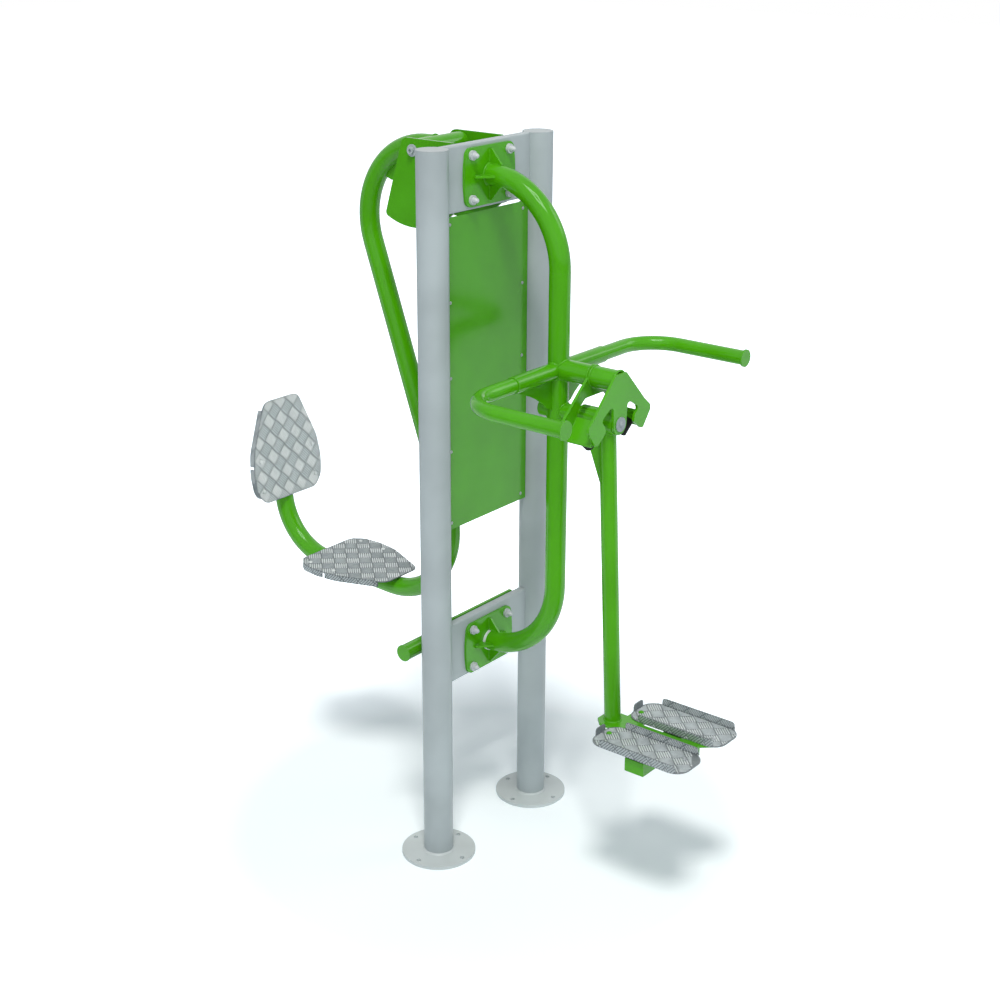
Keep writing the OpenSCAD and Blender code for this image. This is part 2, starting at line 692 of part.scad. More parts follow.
module caps_for_bolts() {
  hex_r = bolt_flats/2/cos(30);
  color("WhiteSmoke") plate_bolt_places() translate([0, -plate_front, 0]) rotate([90, 0, 0])
    rotate_extrude($fn = 40) polygon(concat([[hex_r, 0], [cap_diameter/2, 0], [cap_diameter/2, cap_rim]],
      [for (i = [0:8]) [cap_dome/2*cos(i*11.25), cap_rim + cap_dome_height*sin(i*11.25)]],
      [[0, bolt_head], [hex_r, bolt_head]]));
}
module nuts_for_bolts() {
  color("DimGray") plate_bolt_places() difference() {
    translate([0, back_face + nut_height, 0]) hexagon(nut_height);
    along_y(back_face, back_face + nut_height, bolt_r);
  }
}

module tube_cope() {
  translate([0, -front_tube_reach, handle_height - tube_diameter])
    cylinder(r = tube_r, h = 2*tube_diameter);
  translate([0, 0, bracket_height]) along_y(-front_tube_reach - tube_diameter, -front_tube_reach, tube_r);
}
module handlebar(side) {
  color("LimeGreen") difference() {
    translate([0, -front_tube_reach, handle_height])
      bent_tube([[0, 0], [side*handle_half_width, 0], [side*handle_half_width, -handle_reach]],
        [handle_bend], handle_r, handle_r - handle_wall);
    tube_cope();
  }
}
module handle_cap(side) {
  color("LimeGreen") translate([side*handle_half_width, -front_tube_reach - handle_reach, handle_height])
    along_y(-handle_disc_thickness, 0, handle_disc/2);
}
module sleeve(side) {
  color("LimeGreen") difference() {
    translate([0, -front_tube_reach, handle_height]) rotate([0, side*90, 0])
      linear_extrude(sleeve_half_length) ring(sleeve_r, handle_r);
    tube_cope();
  }
}
module handle_web(side) {
  tip = sleeve_half_length - web_setback;
  foot = handle_height - sleeve_r - web_drop;
  color("LimeGreen") difference() {
    face_on(front_tube_reach + web_thickness/2, web_thickness)
      polygon(concat([[side*tube_r/2, handle_height], [side*tube_r/2, foot]],
        [for (e = web_edge_shares) [side*(tube_r + e[0]*(tip - tube_r)), foot + e[1]*web_drop]],
        [[side*tip, handle_height]]));
    translate([0, -front_tube_reach, foot]) cylinder(r = tube_r, h = handle_height);
    translate([0, -front_tube_reach, handle_height]) rotate([0, side*90, 0])
      cylinder(r = sleeve_r, h = sleeve_half_length);
  }
}
module bracket_tube() {
  color("LimeGreen") translate([0, 0, bracket_height]) difference() {
    translate([0, -front_tube_reach, 0]) rotate([90, 0, 0])
      linear_extrude(bracket_front - bracket_thickness - front_tube_reach) ring(tube_r, tube_r - tube_wall);
    translate([0, -front_tube_reach, 0]) cylinder(r = tube_r, h = 2*tube_diameter, center = true);
  }
}
module bracket_outline(half, rounds) {
  translate([0, pivot_height]) polygon(rounded(mirrored(half), mirrored_list(rounds), 5));
}
module front_bracket() {
  tongue = [for (i = [0:9]) tongue_radius*[cos(i*10), -sin(i*10)]];
  color("LimeGreen") face_on(bracket_front, bracket_thickness) difference() {
    bracket_outline(concat(front_bracket_shares*bracket_span, tongue),
      concat(front_round_shares*bracket_span, [for (p = tongue) 0]));
    translate([0, pivot_height]) circle(r = shaft_r);
  }
}
module rear_bracket() {
  color("LimeGreen") difference() {
    face_on(bracket_rear_front, bracket_thickness) bracket_outline(rear_bracket_shares*bracket_span,
      rear_round_shares*bracket_span);
    translate([0, 0, bracket_height]) along_y(-bracket_front, -front_tube_reach, tube_r);
  }
}
// sloping place of the stops: local X runs down the slope, local Y away from the pivot
module at_stop(side) {
  translate([0, 0, pivot_height]) mirror([side < 0 ? 1 : 0, 0, 0]) rotate([90, 0, 0])
    rotate([0, 0, swing_limit - 90]) children();
}
module stop_plate(side) {
  color("LimeGreen") at_stop(side) translate([stop_start, stop_inner, bracket_rear_front])
    cube([stop_end - stop_start, stop_thickness, bracket_front - bracket_thickness - bracket_rear_front]);
}
module buffer(side) {
  color("Black") at_stop(side)
    translate([buffer_place, buffer_face, (bracket_front + bracket_rear_front - bracket_thickness)/2])
      rotate([-90, 0, 0]) cylinder(d = buffer_diameter, h = stop_inner - buffer_face);
}
module pivot_beam() {
  color("LimeGreen") translate([0, 0, pivot_height]) difference() {
    along_y(-beam_front, -beam_rear, beam_r);
    along_y(-beam_front + beam_disc, -beam_rear - beam_disc, beam_r - beam_wall);
    along_y(-beam_front, -beam_front + beam_disc, shaft_r);
  }
}
module pivot_shaft() {
  color("Silver") translate([0, 0, pivot_height])
    along_y(-bracket_front, -beam_front + beam_disc, shaft_r);
}
module pivot_cover() {
  color("Gainsboro") translate([0, -bracket_front, pivot_height]) rotate([90, 0, 0]) {
    cylinder(d = pivot_washer, h = pivot_washer_thickness);
    translate([0, 0, pivot_washer_thickness]) rotate_extrude($fn = 40)
      polygon(concat([[0, 0]], [for (i = [0:6]) [pivot_dome/2*cos(i*15), pivot_dome_height*sin(i*15)]]));
  }
}

// pendulum
bush_r = bush_diameter/2;
module swing_hub() {
  color("LimeGreen") translate([0, 0, pivot_height]) difference() {
    along_y(-hub_front, -hub_rear, hub_diameter/2);
    along_y(-hub_front, -hub_rear, bush_r);
  }
}
module hub_bush(from) {
  color("DarkSlateGray") translate([0, 0, pivot_height]) difference() {
    along_y(from, from + bush_length, bush_r);
    along_y(from, from + bush_length, shaft_r + running_clearance);
  }
}
// local frame of the arm: starts on the pivot line and runs down the arm
module on_arm() {
  translate([0, -arm_top_reach, pivot_height]) rotate([-arm_slope, 0, 0]) children();
}
arm_length = norm([pivot_height - base_under, arm_foot_reach - arm_top_reach]);
module pendulum_arm() {
  color("LimeGreen") difference() {
    on_arm() translate([0, 0, -arm_length - arm_r]) linear_extrude(arm_length + arm_r)
      ring(arm_r, arm_r - arm_wall);
    translate([0, 0, pivot_height]) along_y(-hub_front, -hub_rear, hub_diameter/2);
    translate([-arm_diameter, -arm_foot_reach - arm_diameter, foot_base_height - 2*arm_diameter])
      cube(2*arm_diameter);
  }
}
module arm_web() {
  color("LimeGreen") difference() {
    side_on(-gusset_thickness/2, gusset_thickness)
      polygon([[-web_top_reach, pivot_height], [-arm_top_reach, pivot_height],
        [-arm_top_reach - arm_r/2, web_bottom_height], [-arm_top_reach + arm_r/2, web_bottom_height],
        [-web_top_reach, pivot_height - hub_diameter/2 - gusset_thickness]]);
    translate([0, 0, pivot_height]) along_y(-hub_front, -hub_rear, hub_diameter/2);
    on_arm() translate([0, 0, -arm_length]) cylinder(r = arm_r, h = arm_length + arm_r);
  }
}
module arm_base() {
  chamfer = base_half_width/2;
  half = ear_width/2;
  wing = [[0, -base_rear], [base_half_width - chamfer, -base_rear], [base_half_width, -base_rear - chamfer],
    [base_half_width, -foot_bolt_rear + half], [ear_half_width, -foot_bolt_rear + half],
    [ear_half_width, -foot_bolt_rear - half], [strip_half_width, -foot_bolt_rear - 2*half],
    [strip_half_width, -foot_bolt_front + 3*half], [ear_half_width, -foot_bolt_front + half],
    [ear_half_width, -foot_bolt_front - half], [foot_inner + strip_half_width, -foot_bolt_front - half],
    [strip_half_width, -strip_front], [0, -strip_front]];
  color("LimeGreen") difference() {
    union() {
      translate([0, 0, base_under]) linear_extrude(foot_base_thickness) polygon(mirrored(wing));
      for (side = [-1, 1]) translate([side < 0 ? -strip_half_width : strip_half_width - foot_sheet,
        -strip_front, base_under - strip_lip])
        cube([foot_sheet, strip_front - foot_bolt_rear - 2*half, strip_lip]);
      translate([-strip_half_width, -strip_front, base_under - strip_lip])
        cube([2*strip_half_width, foot_sheet, strip_lip]);
    }
    translate([-crossbar_half, -crossbar_reach - crossbar_width/2, base_under - crossbar_height])
      cube([2*crossbar_half, crossbar_width, crossbar_height]);
    foot_bolt_places() translate([0, 0, base_under]) cylinder(d = foot_bolt, h = foot_base_thickness);
  }
}
module foot_bolt_places() {
  for (side = [-1, 1]) {
    translate([side*foot_bolt_rear_x, -foot_bolt_rear, 0]) children();
    translate([side*foot_bolt_front_x, -foot_bolt_front, 0]) children();
  }
}
module foot_crossbar() {
  color("LimeGreen") translate([0, -crossbar_reach, base_under - crossbar_height/2]) difference() {
    cube([2*crossbar_half, crossbar_width, crossbar_height], center = true);
    cube([2*crossbar_half - 2*crossbar_wall, crossbar_width - 2*crossbar_wall,
      crossbar_height - 2*crossbar_wall], center = true);
  }
}
module foot_plate(side) {
  outline = rounded(box_points(foot_width/2, foot_length/2), [for (i = [0:3]) foot_corner], 7);
  long = foot_length/2 - foot_corner;
  color("Silver") translate([side*(foot_inner + foot_width/2), -crossbar_reach, foot_base_height])
  difference() {
    union() {
      linear_extrude(foot_sheet) polygon(outline);
      translate([0, 0, foot_sheet]) linear_extrude(foot_rim) difference() {
        polygon(outline);
        polygon(rounded(box_points(foot_width/2 - foot_sheet, foot_length/2 - foot_sheet),
          [for (i = [0:3]) foot_corner - foot_sheet], 7));
        // gaps at the rear end, at its corners and along the front end
        translate([-foot_rim_gap/2, long]) square([foot_rim_gap, 2*foot_corner]);
        for (s = [-1, 1]) translate([s*foot_width/2 - foot_corner_gap, long])
          square([2*foot_corner_gap, foot_corner_gap]);
        translate([-foot_width/2, -foot_length/2]) square([foot_width, foot_corner/2]);
      }
    }
    translate([-side*(foot_inner + foot_width/2), crossbar_reach, 0]) foot_bolt_places()
      cylinder(d = foot_bolt, h = foot_sheet);
  }
}
module foot_bolt_pair(front) {
  color(front ? "Silver" : "LimeGreen") for (side = [-1, 1])
    translate([side*(front ? foot_bolt_front_x : foot_bolt_rear_x),
      front ? -foot_bolt_front : -foot_bolt_rear, 0]) {
    translate([0, 0, base_under - foot_bolt/2])
      cylinder(d = foot_bolt, h = foot_top - base_under + foot_bolt/2);
    translate([0, 0, foot_top]) rotate_extrude($fn = 32)
      polygon(concat([[0, 0]], [for (i = [0:5]) [foot_bolt*cos(i*18), foot_bolt*0.6*sin(i*18)]]));
  }
}

// seat side
module back_plate_at(bottom, top, half, height) {
  color("LimeGreen") face_on(-cross_back, back_plate) difference() {
    translate([0, (bottom + top)/2]) polygon(rounded(box_points(half, (top - bottom)/2),
      [for (i = [0:3]) cross_round], 5));
    plate_holes(height, (bolt_diameter + bolt_clearance)/2);
  }
}
module cheek_outline() {
  py = seat_pivot_reach;
  pz = seat_pivot_height;
  last = 270 + asin((cheek_reach - py)/cheek_radius);
  first = 180 + acos((py - back_face)/cheek_radius);
  arc = [for (i = [1:17]) let (a = last + (first - last)*i/18)
    [py + cheek_radius*cos(a), pz + cheek_radius*sin(a)]];
  // the last point stays on the back plate
  foot = max(upper_back_bottom, pz + cheek_radius*sin(first));
  polygon(rounded(concat([[back_face, cheek_top], [cheek_corner, cheek_top],
    [cheek_reach, pz + cheek_radius*sin(last)]], arc, [[back_face, foot]]),
    concat([0, cheek_round, cheek_low_round], [for (p = arc) 0], [0])));
}
module cheek(side) {
  color("LimeGreen") difference() {
    side_on(side < 0 ? -cheek_half : cheek_inner, cheek_thickness) cheek_outline();
    translate([0, seat_pivot_reach, seat_pivot_height]) along_x(-cheek_half, cheek_half, seat_shaft/2);
    translate([0, seat_pivot_reach - rest_reach, seat_pivot_height - rest_drop])
      along_x(-cheek_half, cheek_half, rest_bar/2);
  }
}
module seat_shaft_rod() {
  color("Silver") translate([0, seat_pivot_reach, seat_pivot_height])
    along_x(-cheek_half, cheek_half, seat_shaft/2);
}
module seat_shaft_end(side) {
  color("Silver") translate([side*cheek_half, seat_pivot_reach, seat_pivot_height])
  rotate([0, side*90, 0]) {
    cylinder(d = seat_washer, h = seat_washer_thickness);
    translate([0, 0, seat_washer_thickness]) difference() {
      cylinder(d = socket_diameter, h = socket_height);
      translate([0, 0, socket_height - socket_depth])
        cylinder(d = socket_flats/cos(30), h = socket_depth, $fn = 6);
    }
  }
}
module rest_rod() {
  color("LimeGreen") translate([0, seat_pivot_reach - rest_reach, seat_pivot_height - rest_drop])
    along_x(-cheek_half, cheek_half, rest_bar/2);
}
module rest_buffer() {
  color("Black") translate([0, seat_pivot_reach - rest_reach, seat_pivot_height - rest_drop]) difference() {
    along_x(-rest_sleeve_length/2, rest_sleeve_length/2, rest_sleeve/2);
    along_x(-rest_sleeve_length/2, rest_sleeve_length/2, rest_bar/2);
  }
}
seat_bush_r = seat_bush_diameter/2;
module seat_hub_tube() {
  face = seat_pivot_reach - rest_reach + rest_sleeve/2 + rest_gap;
  color("LimeGreen") difference() {
    union() {
      translate([0, seat_pivot_reach, seat_pivot_height]) along_x(-hub_half, hub_half, seat_hub/2);
      side_on(-lug_width/2, lug_width) polygon([[face, seat_pivot_height - rest_drop - lug_thickness],
        [face + lug_thickness, seat_pivot_height - rest_drop - lug_thickness],
        [seat_pivot_reach, seat_pivot_height - seat_bush_r - lug_thickness/3],
        [seat_pivot_reach, seat_pivot_height],
        [face, seat_pivot_height - seat_hub/2 + lug_thickness]]);
    }
    translate([0, seat_pivot_reach, seat_pivot_height]) along_x(-hub_half, hub_half, seat_bush_r);
  }
}
module seat_bush(from) {
  color("DarkSlateGray") translate([0, seat_pivot_reach, seat_pivot_height]) difference() {
    along_x(from, from + bush_length, seat_bush_r);
    along_x(from, from + bush_length, seat_shaft/2 + running_clearance);
  }
}
arm_path = [[seat_pivot_reach, seat_pivot_height], [arm_corner_reach, arm_corner_height],
  [knee_reach, knee_height], [heel_reach, heel_height], [arm_end_reach, arm_end_height]];
module hub_space() {
  translate([0, seat_pivot_reach, seat_pivot_height]) along_x(-hub_half, hub_half, seat_hub/2);
}
first_cut = cut(arm_path[0], arm_path[1], arm_path[2], upper_bend);
before_first = arm_path[1] - unit(arm_path[1] - arm_path[0])*first_cut;
after_first = arm_path[1] + unit(arm_path[2] - arm_path[1])*first_cut;
// short straight run out of the hub and the first bend; its end stays off the hub's middle
module first_bend(ri) {
  in_yz() {
    run(arm_path[0], before_first, tube_r, ri, -hub_start_share*seat_hub, bend_lap);
    bend(arm_path[0], arm_path[1], arm_path[2], upper_bend, tube_r, ri);
  }
}
module arm_tube() {
  color("LimeGreen") {
    difference() {
      first_bend(tube_r - tube_wall);
      hub_space();
    }
    in_yz() bent_tube([after_first, arm_path[2], arm_path[3], arm_path[4]], [lower_bend, heel_bend],
      tube_r, tube_r - tube_wall, bend_lap);
  }
}
module swing_web() {
  line = corner(arm_path[0], arm_path[1], arm_path[2], upper_bend, 16);
  color("LimeGreen") difference() {
    side_on(-gusset_thickness/2, gusset_thickness)
      polygon(concat([for (i = [0:8]) line[i]],
        [[seat_pivot_reach + arm_web_length, seat_pivot_height - arm_web_drop],
         [seat_pivot_reach, seat_pivot_height - seat_hub/2 - gusset_thickness]]));
    hub_space();
    first_bend(0);
  }
}
module arm_plug() {
  color("LimeGreen") translate([0, arm_end_reach, arm_end_height]) rotate([back_slope - 90, 0, 0])
    translate([0, 0, -bend_lap]) cylinder(d = arm_disc, h = arm_disc_thickness);
}
// places of the two sheets: X across, Y along from the wide end, Z towards the sitter
module on_seat() {
  translate([0, seat_wide_reach, seat_wide_height]) rotate([seat_tilt, 0, 0])
    rotate([0, 0, 180]) children();
}
module on_back() {
  translate([0, back_wide_reach, back_wide_height]) rotate([90 - back_lean, 0, 0]) children();
}
module seat_screw_places() {
  for (side = [-1, 1], y = [seat_row_one, seat_row_two]) translate([side*seat_screw_x, y, 0]) children();
}
module carrier() {
  low = seat_row_one - seat_screw_head;
  high = seat_row_two + seat_screw_head;
  difference() {
    side_on(-carrier_width/2, carrier_width)
      polygon([[low, 0], [low, -carrier_thickness], [high, -carrier_far_thickness], [high, 0]]);
    seat_screw_places() translate([0, 0, -carrier_far_thickness])
      cylinder(d = seat_screw, h = carrier_far_thickness);
  }
}
module carriers() {
  color("LimeGreen") difference() {
    union() {
      on_seat() carrier();
      on_back() carrier();
    }
    in_yz() bent_tube([after_first, arm_path[2], arm_path[3], arm_path[4]], [lower_bend, heel_bend],
      tube_r, 0);
  }
}
module tread_plate() {
  full = rounded(mirrored(seat_outline_shares)*seat_length, mirrored_list(seat_round_shares)*seat_length);
  color("Silver") difference() {
    union() {
      linear_extrude(seat_sheet) polygon(full);
      translate([0, 0, -seat_rim]) linear_extrude(seat_rim) difference() {
        polygon(full);
        offset(delta = -seat_sheet) polygon(full);
        translate([-seat_length, 0]) square([2*seat_length, seat_rim_start]);
        translate([-seat_length, seat_rim_end]) square([2*seat_length, seat_length]);
        translate([-seat_length, seat_notch]) square([2*seat_length, seat_notch_width]);
      }
    }
    seat_screw_places() cylinder(d = seat_screw, h = seat_sheet);
  }
}
module seat_screws_set() {
  color("WhiteSmoke") seat_screw_places() {
    translate([0, 0, -carrier_far_thickness])
      cylinder(d = seat_screw, h = carrier_far_thickness + seat_sheet);
    translate([0, 0, seat_sheet]) rotate_extrude($fn = 32)
      polygon(concat([[0, 0]],
        [for (i = [0:5]) [seat_screw_head/2*cos(i*18), seat_screw_head/4*sin(i*18)]]));
  }
}
module foot_bar() {
  color("LimeGreen") translate([0, footbar_reach, footbar_height]) rotate([0, 90, 0])
    linear_extrude(2*footbar_half, center = true)
      ring(footbar_diameter/2, footbar_diameter/2 - footbar_wall);
}
module foot_bar_cap(side) {
  color("LimeGreen") translate([side*footbar_half, footbar_reach, footbar_height]) rotate([0, side*90, 0])
    cylinder(d = footbar_disc, h = footbar_disc_thickness);
}
module foot_bar_stub() {
  stub_r = stub_diameter/2;
  color("LimeGreen") translate([0, 0, footbar_height]) difference() {
    union() {
      translate([0, footbar_reach, 0]) rotate([90, 0, 0]) linear_extrude(footbar_reach - back_face)
        ring(stub_r, stub_r - footbar_wall);
      for (s = [-1, 1]) side_on(-gusset_thickness/2, gusset_thickness)
        polygon([[back_face, s*(stub_r - footbar_wall/2)], [back_face, s*stub_gusset],
          [back_face + gusset_thickness, s*stub_gusset],
          [back_face + stub_gusset_length, s*stub_r],
          [back_face + stub_gusset_length, s*(stub_r - footbar_wall/2)]]);
    }
    translate([0, footbar_reach, 0]) along_x(-tube_diameter, tube_diameter, footbar_diameter/2);
  }
}

module left_post() { post(-1); }
module right_post() { post(1); }
module post_caps() { post_cap(-1); post_cap(1); }
module left_flange() { flange(-1); }
module right_flange() { flange(1); }
module upper_crossplate() { crossplate(upper_cross_bottom, upper_cross_height, upper_plate_height); }
module lower_crossplate() { crossplate(lower_cross_bottom, lower_cross_height, lower_plate_height); }
module panel_rails() { panel_rail(-1); panel_rail(1); }
module upper_front_plate() { front_plate(upper_plate_height); }
module lower_front_plate() { front_plate(lower_plate_height); }
module plate_gussets() { gussets_at(upper_plate_height, false); gussets_at(lower_plate_height, true); }
module plate_bolts() { bolts_for_plates(); }
module bolt_caps() { caps_for_bolts(); }
module bolt_nuts() { nuts_for_bolts(); }
module left_handlebar() { handlebar(-1); }
module right_handlebar() { handlebar(1); }
module handle_caps() { handle_cap(-1); handle_cap(1); }
module left_sleeve() { sleeve(-1); }
module right_sleeve() { sleeve(1); }
module handle_webs() { handle_web(-1); handle_web(1); }
module stop_plates() { stop_plate(-1); stop_plate(1); }
module stop_buffers() { buffer(-1); buffer(1); }
module hub_bushes() { hub_bush(-hub_front); hub_bush(-hub_rear - bush_length); }
module left_foot_plate() { foot_plate(-1); }
module right_foot_plate() { foot_plate(1); }
module foot_bolts() { foot_bolt_pair(false); foot_bolt_pair(true); }
module upper_back_plate() {
  back_plate_at(upper_back_bottom, upper_back_top, upper_back_half, upper_plate_height);
}
module lower_back_plate() {
  back_plate_at(lower_back_bottom, lower_back_top, lower_back_half, lower_plate_height);
}
module left_cheek() { cheek(-1); }
module right_cheek() { cheek(1); }
module seat_shaft() { seat_shaft_rod(); }
module seat_shaft_ends() { seat_shaft_end(-1); seat_shaft_end(1); }
module rest_bar() { rest_rod(); }
module rest_sleeve() { rest_buffer(); }
module seat_hub() { seat_hub_tube(); }
module seat_bushes() { seat_bush(-hub_half); seat_bush(hub_half - bush_length); }
module swing_arm() { arm_tube(); arm_plug(); }
module seat_plate() { on_seat() tread_plate(); }
module backrest_plate() { on_back() tread_plate(); }
module plate_carriers() { carriers(); }
module seat_screws() { on_seat() seat_screws_set(); on_back() seat_screws_set(); }
module foot_bar_caps() { foot_bar_cap(-1); foot_bar_cap(1); }

left_post();
right_post();
post_caps();
left_flange();
right_flange();
upper_crossplate();
lower_crossplate();
info_panel();
panel_rails();
panel_screws();
upper_front_plate();
lower_front_plate();
front_tube();
plate_gussets();
tube_ring();
plate_bolts();
bolt_caps();
bolt_nuts();
left_handlebar();
right_handlebar();
handle_caps();
left_sleeve();
right_sleeve();
handle_webs();
bracket_tube();
front_bracket();
rear_bracket();
stop_plates();
stop_buffers();
pivot_beam();
pivot_shaft();
pivot_cover();
swing_hub();
hub_bushes();
pendulum_arm();
arm_web();
arm_base();
foot_crossbar();
left_foot_plate();
right_foot_plate();
foot_bolts();
upper_back_plate();
lower_back_plate();
left_cheek();
right_cheek();
seat_shaft();
seat_shaft_ends();
rest_bar();
rest_sleeve();
seat_hub();
seat_bushes();
swing_arm();
swing_web();
seat_plate();
backrest_plate();
plate_carriers();
seat_screws();
foot_bar();
foot_bar_caps();
foot_bar_stub();
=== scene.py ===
import json
import math
from collections import namedtuple

import bmesh
import bpy
from mathutils import Matrix, Vector


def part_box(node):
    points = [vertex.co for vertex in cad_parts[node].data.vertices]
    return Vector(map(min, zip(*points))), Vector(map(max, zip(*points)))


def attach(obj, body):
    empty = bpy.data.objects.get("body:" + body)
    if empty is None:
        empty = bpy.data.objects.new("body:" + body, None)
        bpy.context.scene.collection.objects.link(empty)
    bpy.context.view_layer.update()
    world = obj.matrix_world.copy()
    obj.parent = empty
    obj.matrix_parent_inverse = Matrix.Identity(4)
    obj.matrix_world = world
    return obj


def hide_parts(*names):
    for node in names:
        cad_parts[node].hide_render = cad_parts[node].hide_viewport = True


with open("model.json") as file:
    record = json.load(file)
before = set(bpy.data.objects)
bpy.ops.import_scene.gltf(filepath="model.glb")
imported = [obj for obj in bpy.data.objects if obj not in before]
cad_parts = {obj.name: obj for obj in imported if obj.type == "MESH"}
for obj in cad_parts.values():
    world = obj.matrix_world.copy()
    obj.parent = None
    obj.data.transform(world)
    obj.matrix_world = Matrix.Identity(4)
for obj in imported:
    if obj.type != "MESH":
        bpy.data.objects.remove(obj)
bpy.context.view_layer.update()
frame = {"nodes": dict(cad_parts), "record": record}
print("frame loaded:", len(frame["nodes"]), "nodes")


Place = namedtuple("Place", "x y z")


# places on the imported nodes, rounded to a hundredth of a millimetre
def rounded(place):
    return Place(*(round(value, 5) for value in place))


def lowCorner(node):
    return rounded(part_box(node)[0])


def highCorner(node):
    return rounded(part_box(node)[1])


def centreOf(node):
    low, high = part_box(node)
    return rounded((low + high) / 2)


def jointOf(name):
    return next(row for row in frame["record"]["behaviour"]["joints"] if row["name"] == name)


# place in metres, turns in degrees, lens and sensor in millimetres, fitted to the photo's holes and edges
cameraSetup = {"place": (-3.624, -2.929, 2.817), "yaw": 38.45, "pitch": 20.40, "roll": 0.24,
               "lens": 60.48, "sensor": 36, "farthest": 100}


def makeCamera():
    yaw, pitch, roll = (math.radians(cameraSetup[key]) for key in ("yaw", "pitch", "roll"))
    forward = Vector((math.cos(yaw) * math.cos(pitch), math.sin(yaw) * math.cos(pitch), -math.sin(pitch)))
    right = Vector((math.sin(yaw), -math.cos(yaw), 0))
    up = right.cross(forward)
    tiltedRight = right * math.cos(roll) + up * math.sin(roll)
    tiltedUp = up * math.cos(roll) - right * math.sin(roll)
    data = bpy.data.cameras.new("photoCamera")
    data.sensor_width = cameraSetup["sensor"]
    data.lens = cameraSetup["lens"]
    data.clip_end = cameraSetup["farthest"]
    cam = bpy.data.objects.new("photoCamera", data)
    turn = Matrix((tiltedRight, tiltedUp, -forward)).transposed().to_4x4()
    cam.matrix_world = Matrix.Translation(Vector(cameraSetup["place"])) @ turn
    bpy.context.collection.objects.link(cam)
    bpy.context.scene.camera = cam


makeCamera()
print("camera set")


# node helpers
def feed(tree, socket, source):
    # a socket takes a link from another node, or a plain value
    if hasattr(source, "is_output"):
        tree.links.new(source, socket)
    else:
        socket.default_value = source


def addNode(tree, kind, inputs=None, **values):
    node = tree.nodes.new(kind)
    for key, value in values.items():
        setattr(node, key, value)
    for socket, source in (inputs or {}).items():
        feed(tree, node.inputs[socket], source)
    return node


def mathNode(tree, operation, a, b=0.0, clamp=False):
    return addNode(tree, "ShaderNodeMath", {0: a, 1: b}, operation=operation, use_clamp=clamp).outputs[0]


def rangeNode(tree, value, low, high, toLow=0.0, toHigh=1.0):
    return addNode(tree, "ShaderNodeMapRange", {"Value": value, "From Min": low, "From Max": high,
                                                "To Min": toLow, "To Max": toHigh}).outputs["Result"]


def mixColour(tree, factor, a, b):
    # on a colour mix the inputs 0, 6 and 7 are the factor and the two colours, and output 2 is the colour
    return addNode(tree, "ShaderNodeMix", {0: factor, 6: a, 7: b}, data_type="RGBA").outputs[2]


def noiseNode(tree, coordinates, scale, detail=2.0, roughness=0.5):
    return addNode(tree, "ShaderNodeTexNoise", {"Vector": coordinates, "Scale": scale, "Detail": detail,
                                                "Roughness": roughness}).outputs["Fac"]


def shiftColour(tree, colour, saturation, value):
    return addNode(tree, "ShaderNodeHueSaturation", {"Saturation": saturation, "Value": value,
                                                     "Color": colour}).outputs[0]


def newGroup(name, inputs, outputs):
    group = bpy.data.node_groups.new(name, "ShaderNodeTree")
    for title, kind, value in inputs:
        group.interface.new_socket(title, in_out="INPUT", socket_type=kind).default_value = value
    for title, kind in outputs:
        group.interface.new_socket(title, in_out="OUTPUT", socket_type=kind)
    return group, group.nodes.new("NodeGroupInput").outputs, group.nodes.new("NodeGroupOutput").inputs


def useGroup(tree, group, inputs):
    return addNode(tree, "ShaderNodeGroup", inputs, node_tree=group).outputs


# effects that several finishes share
edgeMask = {"flat": 0.995, "sharp": 0.80, "samples": 4}


def makeEdgeGroup():
    # rounds hard edges for the eye and says where they are
    group, given, out = newGroup("softEdge", [("Radius", "NodeSocketFloat", 0.0012)],
                                 [("Normal", "NodeSocketVector"), ("Edge", "NodeSocketFloat")])
    bevel = addNode(group, "ShaderNodeBevel", {"Radius": given["Radius"]}, samples=edgeMask["samples"])
    geometry = addNode(group, "ShaderNodeNewGeometry")
    dot = addNode(group, "ShaderNodeVectorMath", {0: bevel.outputs[0], 1: geometry.outputs["Normal"]},
                  operation="DOT_PRODUCT").outputs["Value"]
    feed(group, out["Normal"], bevel.outputs[0])
    feed(group, out["Edge"], rangeNode(group, dot, edgeMask["flat"], edgeMask["sharp"]))
    return group


# noises are scale, detail and roughness; drifts are a noise's span and what it becomes
powderGrain = {"peel": (420, 1.5), "slow": (4.0, 3), "fleck": (1500, 0), "slowSpan": (0.35, 0.65),
               "darker": 0.90, "lighter": 1.07, "thinCoat": {"saturation": 0.80, "value": 1.35},
               "glossDrift": (0.3, 0.7, -0.04, 0.06), "glossFleck": (0.4, 0.6, -0.02, 0.02)}


